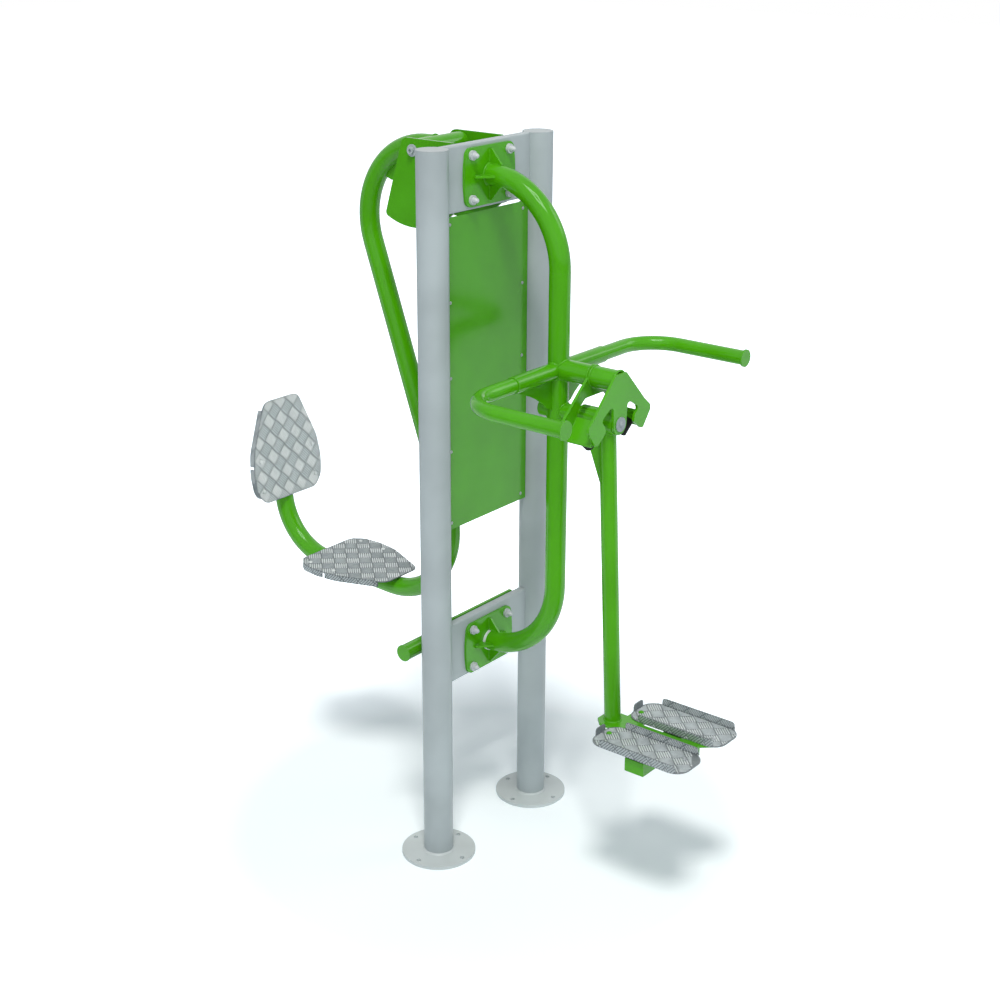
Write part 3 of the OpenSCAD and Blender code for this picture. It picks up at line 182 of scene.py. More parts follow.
def makePowderGroup():
    # fine orange peel of baked powder, and slow changes of tone and gloss
    group, given, out = newGroup("powderCoat", [("Colour", "NodeSocketColor", (0.1, 0.1, 0.1, 1)),
                                                ("Edge", "NodeSocketFloat", 0.0),
                                                ("Thin Edge", "NodeSocketFloat", 0.25),
                                                ("Gloss", "NodeSocketFloat", 0.35)],
                                 [("Colour", "NodeSocketColor"), ("Roughness", "NodeSocketFloat"),
                                  ("Height", "NodeSocketFloat")])
    grain = powderGrain
    place = addNode(group, "ShaderNodeTexCoord").outputs["Object"]
    slow = noiseNode(group, place, *grain["slow"])
    darker = shiftColour(group, given["Colour"], 1, grain["darker"])
    lighter = shiftColour(group, given["Colour"], 1, grain["lighter"])
    colour = mixColour(group, rangeNode(group, slow, *grain["slowSpan"]), darker, lighter)
    pale = shiftColour(group, colour, **grain["thinCoat"])
    thin = mathNode(group, "MULTIPLY", given["Edge"], given["Thin Edge"], True)
    rough = mathNode(group, "ADD", given["Gloss"], rangeNode(group, slow, *grain["glossDrift"]))
    fleck = rangeNode(group, noiseNode(group, place, *grain["fleck"]), *grain["glossFleck"])
    feed(group, out["Colour"], mixColour(group, thin, colour, pale))
    feed(group, out["Roughness"], mathNode(group, "ADD", rough, fleck, True))
    feed(group, out["Height"], noiseNode(group, place, *grain["peel"]))
    return group


dustPatches = {"noise": (28, 4, 0.6), "span": (0.38, 0.68), "facingUp": (0.55, 0.98), "matt": 0.35}


def makeDustGroup():
    # thin dust that settles on faces that look up
    group, given, out = newGroup("settledDust", [("Colour", "NodeSocketColor", (0.1, 0.1, 0.1, 1)),
                                                 ("Roughness", "NodeSocketFloat", 0.4),
                                                 ("Dust", "NodeSocketColor", (0.45, 0.44, 0.40, 1)),
                                                 ("Amount", "NodeSocketFloat", 0.12)],
                                 [("Colour", "NodeSocketColor"), ("Roughness", "NodeSocketFloat")])
    geometry = addNode(group, "ShaderNodeNewGeometry")
    up = addNode(group, "ShaderNodeSeparateXYZ", {0: geometry.outputs["Normal"]}).outputs["Z"]
    place = addNode(group, "ShaderNodeTexCoord").outputs["Object"]
    patches = rangeNode(group, noiseNode(group, place, *dustPatches["noise"]), *dustPatches["span"])
    mask = mathNode(group, "MULTIPLY", rangeNode(group, up, *dustPatches["facingUp"]), patches)
    mask = mathNode(group, "MULTIPLY", mask, given["Amount"], True)
    matt = mathNode(group, "MULTIPLY", mask, dustPatches["matt"])
    feed(group, out["Colour"], mixColour(group, mask, given["Colour"], given["Dust"]))
    feed(group, out["Roughness"], mathNode(group, "ADD", given["Roughness"], matt, True))
    return group


metalGrain = {"lineDetail": 4.0, "cloud": (22, 4, 0.6), "lineShare": 0.5, "span": (0.38, 0.62),
              "glossDrift": (0, 1, 0.10, -0.05)}


def makeMetalGroup():
    # drawn or rolled metal: fine lines along one direction, cloudy oxide and small scratches
    group, given, out = newGroup("wornMetal", [("Colour", "NodeSocketColor", (0.6, 0.6, 0.6, 1)),
                                               ("Dull", "NodeSocketColor", (0.35, 0.36, 0.37, 1)),
                                               ("Stretch", "NodeSocketVector", (1, 1, 12)),
                                               ("Scale", "NodeSocketFloat", 60.0),
                                               ("Roughness", "NodeSocketFloat", 0.35)],
                                 [("Colour", "NodeSocketColor"), ("Roughness", "NodeSocketFloat"),
                                  ("Height", "NodeSocketFloat")])
    grain = metalGrain
    place = addNode(group, "ShaderNodeTexCoord").outputs["Object"]
    stretched = addNode(group, "ShaderNodeVectorMath", {0: place, 1: given["Stretch"]},
                        operation="MULTIPLY").outputs[0]
    lines = noiseNode(group, stretched, given["Scale"], grain["lineDetail"])
    cloud = noiseNode(group, place, *grain["cloud"])
    both = mathNode(group, "ADD", mathNode(group, "MULTIPLY", lines, grain["lineShare"]),
                    mathNode(group, "MULTIPLY", cloud, 1 - grain["lineShare"]))
    mask = rangeNode(group, both, *grain["span"])
    drift = rangeNode(group, mask, *grain["glossDrift"])
    feed(group, out["Colour"], mixColour(group, mask, given["Dull"], given["Colour"]))
    feed(group, out["Roughness"], mathNode(group, "ADD", given["Roughness"], drift, True))
    feed(group, out["Height"], lines)
    return group


softEdge = makeEdgeGroup()
powderCoat = makePowderGroup()
settledDust = makeDustGroup()
wornMetal = makeMetalGroup()


def srgb(red, green, blue):
    def toLinear(level):
        level /= 255
        return level / 12.92 if level <= 0.04045 else ((level + 0.055) / 1.055) ** 2.4
    return (toLinear(red), toLinear(green), toLinear(blue), 1)


def startMaterial(name):
    material = bpy.data.materials.new(name)
    material.use_nodes = True
    tree = material.node_tree
    return material, tree, tree.nodes["Principled BSDF"]


def finishSurface(tree, shader, look, effect, edge, strength, depth):
    # dust over the effect's colour, and its height over the rounded edges
    dust = useGroup(tree, settledDust, {"Colour": effect["Colour"], "Roughness": effect["Roughness"],
                                        "Amount": look["dust"]})
    bump = addNode(tree, "ShaderNodeBump", {"Strength": strength, "Distance": depth,
                                            "Height": effect["Height"], "Normal": edge["Normal"]})
    feed(tree, shader.inputs["Base Color"], dust["Colour"])
    feed(tree, shader.inputs["Roughness"], dust["Roughness"])
    feed(tree, shader.inputs["Normal"], bump.outputs[0])


bumpDepth = {"paint": 0.0004, "metal": 0.0003}


def paintMaterial(name, look):
    material, tree, shader = startMaterial(name)
    edge = useGroup(tree, softEdge, {"Radius": look["edge"]})
    coat = useGroup(tree, powderCoat, {"Colour": look["colour"], "Edge": edge["Edge"],
                                       "Thin Edge": look["thinEdge"], "Gloss": look["gloss"]})
    finishSurface(tree, shader, look, coat, edge, look["peel"], bumpDepth["paint"])
    shader.inputs["Specular IOR Level"].default_value = look["shine"]
    return material


def metalMaterial(name, look):
    material, tree, shader = startMaterial(name)
    edge = useGroup(tree, softEdge, {"Radius": look["edge"]})
    metal = useGroup(tree, wornMetal, {"Colour": look["colour"], "Dull": look["dull"],
                                       "Scale": look["scale"], "Stretch": look["stretch"],
                                       "Roughness": look["roughness"]})
    finishSurface(tree, shader, look, metal, edge, look["bump"], bumpDepth["metal"])
    shader.inputs["Metallic"].default_value = look["metallic"]
    return material


# painted steel
greenLook = {"colour": srgb(72, 158, 6), "gloss": 0.13, "shine": 0.5, "edge": 0.0012, "thinEdge": 0.35,
             "dust": 0.03, "peel": 0.12}
greyLook = {"colour": srgb(164, 174, 177), "gloss": 0.34, "shine": 0.45, "edge": 0.0012, "thinEdge": 0.3,
            "dust": 0.03, "peel": 0.25}
# the flanges are a lighter copy of the grey paint, as painted light on their upward faces
flangeLitLook = dict(greyLook, colour=srgb(186, 195, 196), gloss=0.38, dust=0.04)
panelLook = {"colour": srgb(70, 152, 9), "gloss": 0.17, "shine": 0.5, "edge": 0.0006, "thinEdge": 0.3,
             "dust": 0.0, "peel": 0.08}
washerLook = {"colour": srgb(142, 152, 156), "gloss": 0.3, "shine": 0.5, "edge": 0.0010, "thinEdge": 0.3,
              "dust": 0.03, "peel": 0.15}
ringLook = {"colour": srgb(214, 220, 222), "gloss": 0.4, "shine": 0.4, "edge": 0.0005, "thinEdge": 0.2,
            "dust": 0.04, "peel": 0.2}
green = paintMaterial("greenPowderCoat", greenLook)
grey = paintMaterial("greyPowderCoat", greyLook)
flangeLitGrey = paintMaterial("flangeLitGrey", flangeLitLook)
panelGreen = paintMaterial("panelGreen", panelLook)
washerGrey = paintMaterial("washerGrey", washerLook)
paleRing = paintMaterial("paleRing", ringLook)

# plastic and rubber have the same kind of skin as powder coat
capLook = {"colour": srgb(184, 190, 193), "gloss": 0.30, "shine": 0.5, "edge": 0.0010, "thinEdge": 0.2,
           "dust": 0.06, "peel": 0.10}
rubberLook = {"colour": srgb(30, 31, 32), "gloss": 0.72, "shine": 0.3, "edge": 0.0010, "thinEdge": 0.4,
              "dust": 0.20, "peel": 0.6}
bushLook = {"colour": srgb(58, 60, 63), "gloss": 0.5, "shine": 0.4, "edge": 0.0006, "thinEdge": 0.3,
            "dust": 0.05, "peel": 0.15}
capPlastic = paintMaterial("capPlastic", capLook)
blackRubber = paintMaterial("blackRubber", rubberLook)
bushPlastic = paintMaterial("bushPlastic", bushLook)

# screws and shafts
zincLook = {"colour": srgb(206, 210, 212), "dull": srgb(160, 166, 170), "metallic": 0.8,
            "roughness": 0.36, "edge": 0.0006, "scale": 240, "stretch": (1, 1, 1), "dust": 0.04,
            "bump": 0.25}
screwLook = {"colour": srgb(236, 240, 240), "dull": srgb(205, 211, 212), "metallic": 0.35,
             "roughness": 0.34, "edge": 0.0006, "scale": 300, "stretch": (1, 1, 1), "dust": 0.0,
             "bump": 0.2}
shaftLook = {"colour": srgb(200, 202, 205), "dull": srgb(165, 168, 172), "metallic": 1.0,
             "roughness": 0.22, "edge": 0.0006, "scale": 90, "stretch": (30, 30, 1), "dust": 0.0,
             "bump": 0.3}
zinc = metalMaterial("zincSteel", zincLook)
screwWhite = metalMaterial("screwHeads", screwLook)
shaftSteel = metalMaterial("groundShaft", shaftLook)

footScrewLook = {"steel": zincLook, "paint": greenLook, "split": -0.64, "blend": 0.01,
                 "cloud": (120, 3, 0.5), "cloudSpan": (0.3, 0.7)}


def footScrewMaterial(name, look):
    # steel screws at the front of the foot plates, painted ones at the back
    material, tree, shader = startMaterial(name)
    steel = look["steel"]
    place = addNode(tree, "ShaderNodeTexCoord").outputs["Object"]
    along = addNode(tree, "ShaderNodeSeparateXYZ", {0: place}).outputs["Y"]
    painted = rangeNode(tree, along, look["split"] - look["blend"], look["split"] + look["blend"])
    cloud = rangeNode(tree, noiseNode(tree, place, *look["cloud"]), *look["cloudSpan"])
    worn = mixColour(tree, cloud, steel["dull"], steel["colour"])
    feed(tree, shader.inputs["Base Color"], mixColour(tree, painted, worn, look["paint"]["colour"]))
    feed(tree, shader.inputs["Metallic"], rangeNode(tree, painted, 0, 1, steel["metallic"], 0))
    shader.inputs["Roughness"].default_value = steel["roughness"]
    return material


footScrews = footScrewMaterial("footScrews", footScrewLook)

# rolled tread sheet: the sheet is painted darker than its bars, as painted shade in the gaps between them;
# the bars that rise along the diagonal are a lighter copy, as painted highlight, and the bars across them
# a darker copy, as painted shade
sheetLook = {"colour": srgb(128, 136, 139), "dull": srgb(104, 112, 115), "metallic": 0.4,
             "roughness": 0.50, "edge": 0.0005, "scale": 80, "stretch": (1, 1, 1), "dust": 0.10,
             "bump": 0.4}
# the foot plates and the backrest take their own lighter painted copies of the sheet
footSheetLook = dict(sheetLook, colour=srgb(138, 146, 149), dull=srgb(116, 124, 127))
backSheetLook = dict(sheetLook, colour=srgb(130, 138, 141), dull=srgb(108, 116, 119))
barLitLook = {"colour": srgb(222, 228, 229), "dull": srgb(200, 207, 209), "metallic": 0.4,
           "roughness": 0.40, "edge": 0.0003, "scale": 90, "stretch": (1, 1, 1), "dust": 0.04, "bump": 0.3}
# the bars across and the rims' bars are a darker copy, as painted shade, and the seat's bars across a
# still darker one; the backrest's bars are lighter copies, as painted light
barShadedLook = dict(barLitLook, colour=srgb(192, 200, 202), dull=srgb(170, 178, 181))
seatBarShadedLook = dict(barLitLook, colour=srgb(170, 178, 180), dull=srgb(150, 158, 161))
backBarLitLook = dict(barLitLook, colour=srgb(242, 245, 245), dull=srgb(228, 233, 233))
backAcrossLitLook = dict(barLitLook, colour=srgb(228, 233, 234), dull=srgb(212, 219, 220))
sheetMetal = metalMaterial("treadSheet", sheetLook)
footSheetMetal = metalMaterial("footSheet", footSheetLook)
backSheet = metalMaterial("backrestSheet", backSheetLook)
barLit = metalMaterial("treadBars", barLitLook)
barShaded = metalMaterial("treadBarsShaded", barShadedLook)
seatBarShaded = metalMaterial("seatBarsShaded", seatBarShadedLook)
backBarLit = metalMaterial("backrestBarsLit", backBarLitLook)
backAcrossLit = metalMaterial("backrestAcrossLit", backAcrossLitLook)
print("materials made")

# which material each imported node takes, by the record's slot, with a few of its own; the tread sheet is
# painted darker as painted shade between its bars, and the flanges take a lighter copy of the grey as
# painted light
slotFinishAndShadedSheet = {"green_paint": green, "grey_paint": grey, "panel_paint": panelGreen, "zinc_steel": zinc,
              "shaft_steel": shaftSteel, "grey_plastic": capPlastic, "black_rubber": blackRubber,
              "bush_plastic": bushPlastic, "tread_aluminium": sheetMetal}
ownFinishAndLitCopies = {"left_flange": flangeLitGrey, "right_flange": flangeLitGrey, "tube_ring": paleRing,
             "pivot_cover": washerGrey, "seat_screws": screwWhite, "backrest_plate": backSheet,
             "foot_bolts": footScrews}


def dressNodes():
    slots = {row["node"]: row["material_slot"] for row in frame["record"]["subparts"]}
    for name, node in frame["nodes"].items():
        node.data.materials.clear()
        node.data.materials.append(ownFinishAndLitCopies.get(name, slotFinishAndShadedSheet[slots[name]]))


dressNodes()
print("nodes dressed")


# mesh helpers
tiny = 1e-9  # keeps sums off an outline's very end and off a division by nothing


def finishMesh(name, bm, finishesAndShades, body, smooth=True):
    bmesh.ops.recalc_face_normals(bm, faces=bm.faces)
    mesh = bpy.data.meshes.new(name)
    bm.to_mesh(mesh)
    bm.free()
    for face in mesh.polygons:
        face.use_smooth = smooth
    for finishAndShade in finishesAndShades:
        mesh.materials.append(finishAndShade)
    piece = bpy.data.objects.new(name, mesh)
    bpy.context.collection.objects.link(piece)
    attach(piece, body)
    return piece


def joinRings(bm, rings, closed=False):
    # skin between rings of vertices, with an end face on each open end
    faces = []
    for a, b in zip(rings, rings[1:] + rings[:1] if closed else rings[1:]):
        for i in range(len(a)):
            j = (i + 1) % len(a)
            faces.append(bm.faces.new((a[i], a[j], b[j], b[i])))
    if not closed:
        faces += [bm.faces.new(rings[0][::-1]), bm.faces.new(rings[-1])]
    return faces


def turns(count):
    return [2 * math.pi * n / count for n in range(count)]


def roundedOutline(points, radii, steps):
    # each corner becomes an arc of its radius
    out = []
    for i, corner in enumerate(points):
        before, after, radius = points[i - 1], points[(i + 1) % len(points)], radii[i]
        if radius <= 0:
            out.append(corner.copy())
            continue
        toBefore, toAfter = (before - corner).normalized(), (after - corner).normalized()
        half = toBefore.angle(toAfter) / 2
        centre = corner + (toBefore + toAfter).normalized() * (radius / math.sin(half))
        reach = radius / math.tan(half)
        start, end = corner + toBefore * reach - centre, corner + toAfter * reach - centre
        first = math.atan2(start.y, start.x)
        sweep = (math.atan2(end.y, end.x) - first + math.pi) % (2 * math.pi) - math.pi
        for s in range(steps + 1):
            angle = first + sweep * s / steps
            out.append(centre + Vector((math.cos(angle), math.sin(angle))) * radius)
    return out


def insideOutline(outline, x, y):
    hit = False
    for i in range(len(outline)):
        a, b = outline[i - 1], outline[i]
        if (a.y > y) != (b.y > y) and x < (b.x - a.x) * (y - a.y) / (b.y - a.y) + a.x:
            hit = not hit
    return hit


def edgeDistance(outline, x, y):
    point, best = Vector((x, y)), math.inf
    for i in range(len(outline)):
        a, b = outline[i - 1], outline[i]
        line = b - a
        share = (point - a).dot(line) / line.length_squared if line.length_squared else 0
        best = min(best, (a + line * max(0, min(1, share)) - point).length)
    return best


# the tread is woven groups of raised bars, laid on the diagonal
treadBars = {"diagonal": (0.0555, 0.0580), "bars": 6, "lengthShare": 0.93, "widthShare": 0.74,
             "height": 0.0016, "sunk": 0.0004, "margin": 0.0012, "rows": 30, "spread": 0.04,
             "tests": 24, "shortest": 2}
# the section is shares of half the width and of the height, a station shares of length, width and height
barShape = {"sectionShares": ((-1, -1), (-0.80, 0.45), (0, 1), (0.80, 0.45), (1, -1)),
            "stationShares": ((0, 0.45, 0.1), (0.07, 0.88, 0.55), (0.25, 1, 0.88), (0.5, 1, 1),
                              (0.75, 1, 0.88), (0.93, 0.88, 0.55), (1, 0.45, 0.1)),
            "cutShare": 0.2, "cutEndShares": (1, 0.9)}
onRising, onAcross, onRim = 0, 1, 2  # which of a tread's three materials a bar takes: painted lighter along the diagonal, painted darker across it and on the rims, as painted light and shade


def addBar(bm, place, start, end, width, cut, finishAndShade):
    # an end that the sheet's edge or a screw cuts off stays blunt
    along = (end - start).normalized()
    side = Vector((-along.y, along.x)) * width / 2
    sections = []
    for share, wide, high in barShape["stationShares"]:
        if (cut[0] and share < barShape["cutShare"]) or (cut[1] and share > 1 - barShape["cutShare"]):
            wide, high = barShape["cutEndShares"]
        section = []
        for s, h in barShape["sectionShares"]:
            spot = start.lerp(end, share) + side * s * wide
            height = -treadBars["sunk"] if h < 0 else h * high * treadBars["height"]
            section.append(bm.verts.new(place(spot.x, spot.y, height)))
        sections.append(section)
    for face in joinRings(bm, sections):
        face.material_index = finishAndShade


def freeRuns(allowed, start, end):
    # the stretches of a bar that lie on free sheet, as shares of its length
    tests = treadBars["tests"]
    free = [allowed(*start.lerp(end, n / tests)) for n in range(tests + 1)] + [False]
    runs, first = [], None
    for n, isFree in enumerate(free):
        if isFree and first is None:
            first = n
        elif not isFree and first is not None:
            if n - 1 - first >= treadBars["shortest"]:
                runs.append((first / tests, (n - 1) / tests))
            first = None
    return runs


def addBarGroup(bm, place, allowed, centre, rising, finishAndShade):
    spec = treadBars
    halfX, halfY = spec["diagonal"][0] / 2, spec["diagonal"][1] / (2 if rising else -2)
    along = Vector((halfX, halfY)) * spec["lengthShare"] / 2
    step = Vector((halfX, -halfY)) / spec["bars"]
    width = step.length * spec["widthShare"]
    for k in range(spec["bars"]):
        middle = centre + step * (k - (spec["bars"] - 1) / 2)
        start, end = middle - along, middle + along
        for first, last in freeRuns(allowed, start, end):
            addBar(bm, place, start.lerp(end, first), start.lerp(end, last), width, (first > 0, last < 1),
                   finishAndShade)


def addTread(bm, place, allowed, low, high, origin, rim=False):
    # groups of bars all over a field from low to high, cut where a bar isn't allowed
    rows = range(-treadBars["rows"], treadBars["rows"] + 1)
    diagonal, spread = Vector(treadBars["diagonal"]), treadBars["spread"]
    for i in rows:
        for j in rows:
            centre = Vector(origin) + Vector((i * diagonal.x, j * diagonal.y)) / 2
            inField = all(low[axis] - spread < centre[axis] < high[axis] + spread for axis in (0, 1))
            if (i + j) % 2 == 0 and inField:
                rising = i % 2 == 0
                finishAndShade = onRim if rim else onRising if rising else onAcross
                addBarGroup(bm, place, allowed, centre, rising, finishAndShade)


def unrollRim(outline, base, flip):
    # a distance along the outline and a height become a point on the rim's face
    lengths = [0]
    for i in range(len(outline)):
        lengths.append(lengths[-1] + (outline[(i + 1) % len(outline)] - outline[i]).length)
    total = lengths[-1]

    def at(s):
        s = max(0, min(total - tiny, s))
        i = max(n for n in range(len(outline)) if lengths[n] <= s)
        a, b = outline[i], outline[(i + 1) % len(outline)]
        step = (b - a).normalized()
        return a + step * (s - lengths[i]), Vector((step.y, -step.x)) * flip

    def place(s, h, d):
        point, normal = at(s)
        return base @ Vector((point.x + normal.x * d, point.y + normal.y * d, h))
    return place, at, total


# foot plates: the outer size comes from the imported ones
footLow, footHigh = lowCorner("right_foot_plate"), highCorner("right_foot_plate")
footPlate = {"width": footHigh.x - footLow.x, "length": footHigh.y - footLow.y, "corner": 0.044,
             "sheet": 0.003, "frontCut": 0.022, "rearTab": 0.0225, "rimRound": 0.009, "nearEdge": 0.002,
             "cornerSteps": 14, "frontSteps": 8, "sideSteps": 12,
             "sideRoundShares": (1, 0.667, 0.444, 0.222, 0.089, 0),
             "rearShares": (-1, -0.97, -0.9, -0.82, -0.72, -0.6, -0.2, 0.2, 0.6, 0.72, 0.82, 0.9, 0.97, 1)}
footTop = footLow.z + footPlate["sheet"]
rimHeight = footHigh.z - footTop


def footCentre(side):
    centre = centreOf(side + "_foot_plate")
    return Vector((centre.x, centre.y, 0))


def footOutline(inset, steps):
    halfW, halfL = footPlate["width"] / 2 - inset, footPlate["length"] / 2 - inset
    box = [Vector(p) for p in ((-halfW, -halfL), (halfW, -halfL), (halfW, halfL), (-halfW, halfL))]
    return roundedOutline(box, [footPlate["corner"] - inset] * 4, steps)


def rimTop(point):
    # how high the folded rim stands at a point of the outline: long sides and the middle of the rear end
    spec = footPlate
    halfW, halfL = spec["width"] / 2, spec["length"] / 2
    if point.y > halfL - spec["nearEdge"]:
        left = spec["rearTab"] - abs(point.x)
    elif abs(point.x) > halfW - spec["corner"] / 2:
        left = min(halfL - spec["corner"] - point.y, point.y + halfL - spec["frontCut"])
    else:
        left = -1
    if left < 0:
        return 0
    missing = spec["rimRound"] - min(left, spec["rimRound"])
    return rimHeight - spec["rimRound"] + math.sqrt(spec["rimRound"] ** 2 - missing ** 2)


def addRim(bm, stations):
    # stations are points of the outline with the way out from there
    rings = []
    for point, outward in stations:
        top = footTop + rimTop(point)
        inside = point - outward * footPlate["sheet"]
        corners = ((point, footTop), (point, top), (inside, top), (inside, footTop))
        rings.append([bm.verts.new((p.x, p.y, z)) for p, z in corners])
    joinRings(bm, rings)


def addSideRim(bm, way):
    # a long side's rim starts on the front corner's arc and ends where the rear corner's arc begins
    spec = footPlate
    halfW, halfL, corner = spec["width"] / 2, spec["length"] / 2, spec["corner"]
    turn = math.asin(1 - spec["frontCut"] / corner)
    stations = []
    for n in range(spec["frontSteps"] + 1):
        angle = turn * (1 - n / spec["frontSteps"])
        outward = Vector((way * math.cos(angle), -math.sin(angle)))
        stations.append((Vector((way * (halfW - corner), corner - halfL)) + outward * corner, outward))
    long = halfL - corner
    along = [-long + 2 * long * n / spec["sideSteps"] for n in range(1, spec["sideSteps"])]
    along += [long - spec["rimRound"] * share for share in spec["sideRoundShares"]]
    stations += [(Vector((way * halfW, y)), Vector((way, 0))) for y in along]
    addRim(bm, stations)


def makeFootPlate(side, node):
    # sheet with rims folded up where its edges are straight; the rounded rear corners stay open
    spec = footPlate
    outline = footOutline(0, spec["cornerSteps"])
    bm = bmesh.new()
    joinRings(bm, [[bm.verts.new((p.x, p.y, z)) for p in outline] for z in (footLow.z, footTop)])
    addSideRim(bm, -1)
    addSideRim(bm, 1)
    addRim(bm, [(Vector((spec["rearTab"] * share, spec["length"] / 2)), Vector((0, 1)))
                for share in spec["rearShares"]])
    bm.transform(Matrix.Translation(footCentre(side)))
    piece = finishMesh(side + "FootSheet", bm, [footSheetMetal], "pendulum", False)
    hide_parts(node)


# where the foot plates have no bars, and where the pattern starts on each
footTread = {"steps": 7, "rimGap": 0.0005, "edgeGap": 0.001, "outerLift": 0.001, "innerLift": 0.0015,
             "screws": ((0.082, -0.519), (0.075, -0.768)), "screwRadius": 0.0085,
             "plainFront": {"left": ((0.0347, -0.130), (-0.0248, -0.168))}, "plainRear": {"left": 0.15},
             "phase": {"left": (-0.035, -0.593), "right": (0.1308, -0.591)}, "rimPhase": (0.01, 0.012)}


def makeFootTread(side):
    spec, tread = footPlate, footTread
    centre = footCentre(side)
    halfW, halfL = spec["width"] / 2, spec["length"] / 2
    outline = footOutline(0, tread["steps"])
    inner = footOutline(spec["sheet"] + tread["rimGap"], tread["steps"])
    screws = [Vector((math.copysign(x, centre.x) - centre.x, y - centre.y)) for x, y in tread["screws"]]
    plainFront = tread["plainFront"].get(side)
    plainRear = tread["plainRear"].get(side, spec["length"])
    base = Matrix.Translation(centre)
    bm = bmesh.new()

    def onFloor(x, y):
        if plainFront:
            (ax, ay), (bx, by) = plainFront
            if (x - ax) * (by - ay) < (y - ay) * (bx - ax):
                return False
        edge = inner if y > -halfL + spec["corner"] / 2 else outline
        return (insideOutline(edge, x, y)
                and edgeDistance(outline, x, y) > treadBars["margin"] + tread["edgeGap"]
                and all((Vector((x, y)) - screw).length > tread["screwRadius"] for screw in screws))

    def onFloorPlace(x, y, z):
        return base @ Vector((x, y, footTop + z))

    phase = tread["phase"][side]
    addTread(bm, onFloorPlace, onFloor, (-halfW, -halfL), (halfW, halfL),
             (phase[0] - centre.x, phase[1] - centre.y))

    # bars on the outer and inner faces of the rims
    innerFace = footOutline(spec["sheet"], tread["steps"])
    for line, flip, low in ((outline, 1, footLow.z + tread["outerLift"]),
                            (innerFace, -1, footTop + tread["innerLift"])):
        place, at, total = unrollRim(line, base, flip)

        def onRimFace(s, h, at=at, total=total, low=low):
            if not (0 < s < total and h > low):
                return False
            point = at(s)[0]
            stands = rimTop(point)
            return point.y <= plainRear and stands > 0 and h < footTop + stands - tread["edgeGap"]
        addTread(bm, place, onRimFace, (0, low), (total, footTop + rimHeight - tread["edgeGap"]),
                 (tread["rimPhase"][0], low + tread["rimPhase"][1]), True)
    # painted light and shade: the lighter copy on the bars along the diagonal, the darker copy on the bars
    # across and on the rims
    finishMesh(side + "FootTread", bm, (barLit, barShaded, barShaded), "pendulum")


# seat and backrest are the same sheet: the outline's points and rounds are shares of its length
seatSheet = {"length": 0.328, "halfWidth": 0.16, "sheet": 0.003, "rim": 0.017, "rimStart": 0.020,
             "rimEnd": 0.302, "notch": 0.122, "notchWidth": 0.009, "edgeGap": 0.001, "topGap": 0.0008,
             "screwX": 0.117, "screwRows": (0.042, 0.142), "screwRadius": 0.0078, "steps": 6,
             "pointShares": ((0, 0), (0.34, 0), (0.437, 0.11), (0.458, 0.30), (0.43, 0.52),
                             (0.235, 0.985), (0.16, 1), (0, 1)),
             "roundShares": (0, 0.10, 0.16, 0.40, 0.40, 0.10, 0.12, 0), "rimPhase": (0.01, -0.006)}
seatPlace = {"reach": 0.66903, "height": 0.75691, "tilt": 1.433, "phase": (0.018, 0.1340)}
backPlace = {"reach": 0.82404, "height": 0.90994, "lean": 5.6, "phase": (-0.006, 0.2030)}


def makeSheetTread(name, base, phase, finishesAndShades):
    spec = seatSheet
    half = [Vector(p) * spec["length"] for p in spec["pointShares"]]
    radii = [share * spec["length"] for share in spec["roundShares"]]
    outline = roundedOutline(half + [Vector((-p.x, p.y)) for p in half[-2:0:-1]], radii + radii[-2:0:-1],
                             spec["steps"])
    bm = bmesh.new()

    def onSheet(x, v):
        return (insideOutline(outline, x, v) and edgeDistance(outline, x, v) > treadBars["margin"]
                and all(math.hypot(abs(x) - spec["screwX"], v - row) > spec["screwRadius"]
                        for row in spec["screwRows"]))

    addTread(bm, lambda x, v, w: base @ Vector((x, v, spec["sheet"] + w)), onSheet,
             (-spec["halfWidth"], 0), (spec["halfWidth"], spec["length"]), phase)
    place, at, total = unrollRim(outline, base, 1)

    def onRimFace(s, h):
        gap = spec["edgeGap"]
        if not (0 < s < total and gap - spec["rim"] < h < spec["sheet"] - spec["topGap"]):
            return False
        v = at(s)[0].y
        inNotch = spec["notch"] - gap < v < spec["notch"] + spec["notchWidth"] + gap
        return spec["rimStart"] + gap < v < spec["rimEnd"] - gap and not inNotch
    addTread(bm, place, onRimFace, (0, -spec["rim"]), (total, 0), spec["rimPhase"], True)
    finishMesh(name, bm, finishesAndShades, "seat_swing")


for side in ("left", "right"):
    makeFootPlate(side, side + "_foot_plate")
for side in ("left", "right"):
    makeFootTread(side)
seatBase = (Matrix.Translation((0, seatPlace["reach"], seatPlace["height"]))
            @ Matrix.Rotation(math.radians(seatPlace["tilt"]), 4, "X") @ Matrix.Rotation(math.pi, 4, "Z"))
backBase = (Matrix.Translation((0, backPlace["reach"], backPlace["height"]))
            @ Matrix.Rotation(math.radians(90 - backPlace["lean"]), 4, "X"))
# the seat's bars across take a darker painted copy and the backrest's bars lighter painted copies, as
# painted light and shade; the rims take the darker copy
makeSheetTread("seatTread", seatBase, seatPlace["phase"], (barLit, seatBarShaded, barShaded))
makeSheetTread("backrestTread", backBase, backPlace["phase"], (backBarLit, backAcrossLit, barShaded))
print("foot plates folded and tread bars laid")

# weld beads where tubes and plates meet
weldBead = {"size": 0.0032, "rippleShare": 0.10, "pitch": 0.0042, "sides": 8, "station": 0.0014,
            "fewest": 8, "endShare": 0.45, "stepShare": 0.25, "askew": (0.31, 0.17, 0.93), "gap": 0.002,
            "circleSteps": 72, "saddleSteps": 96}


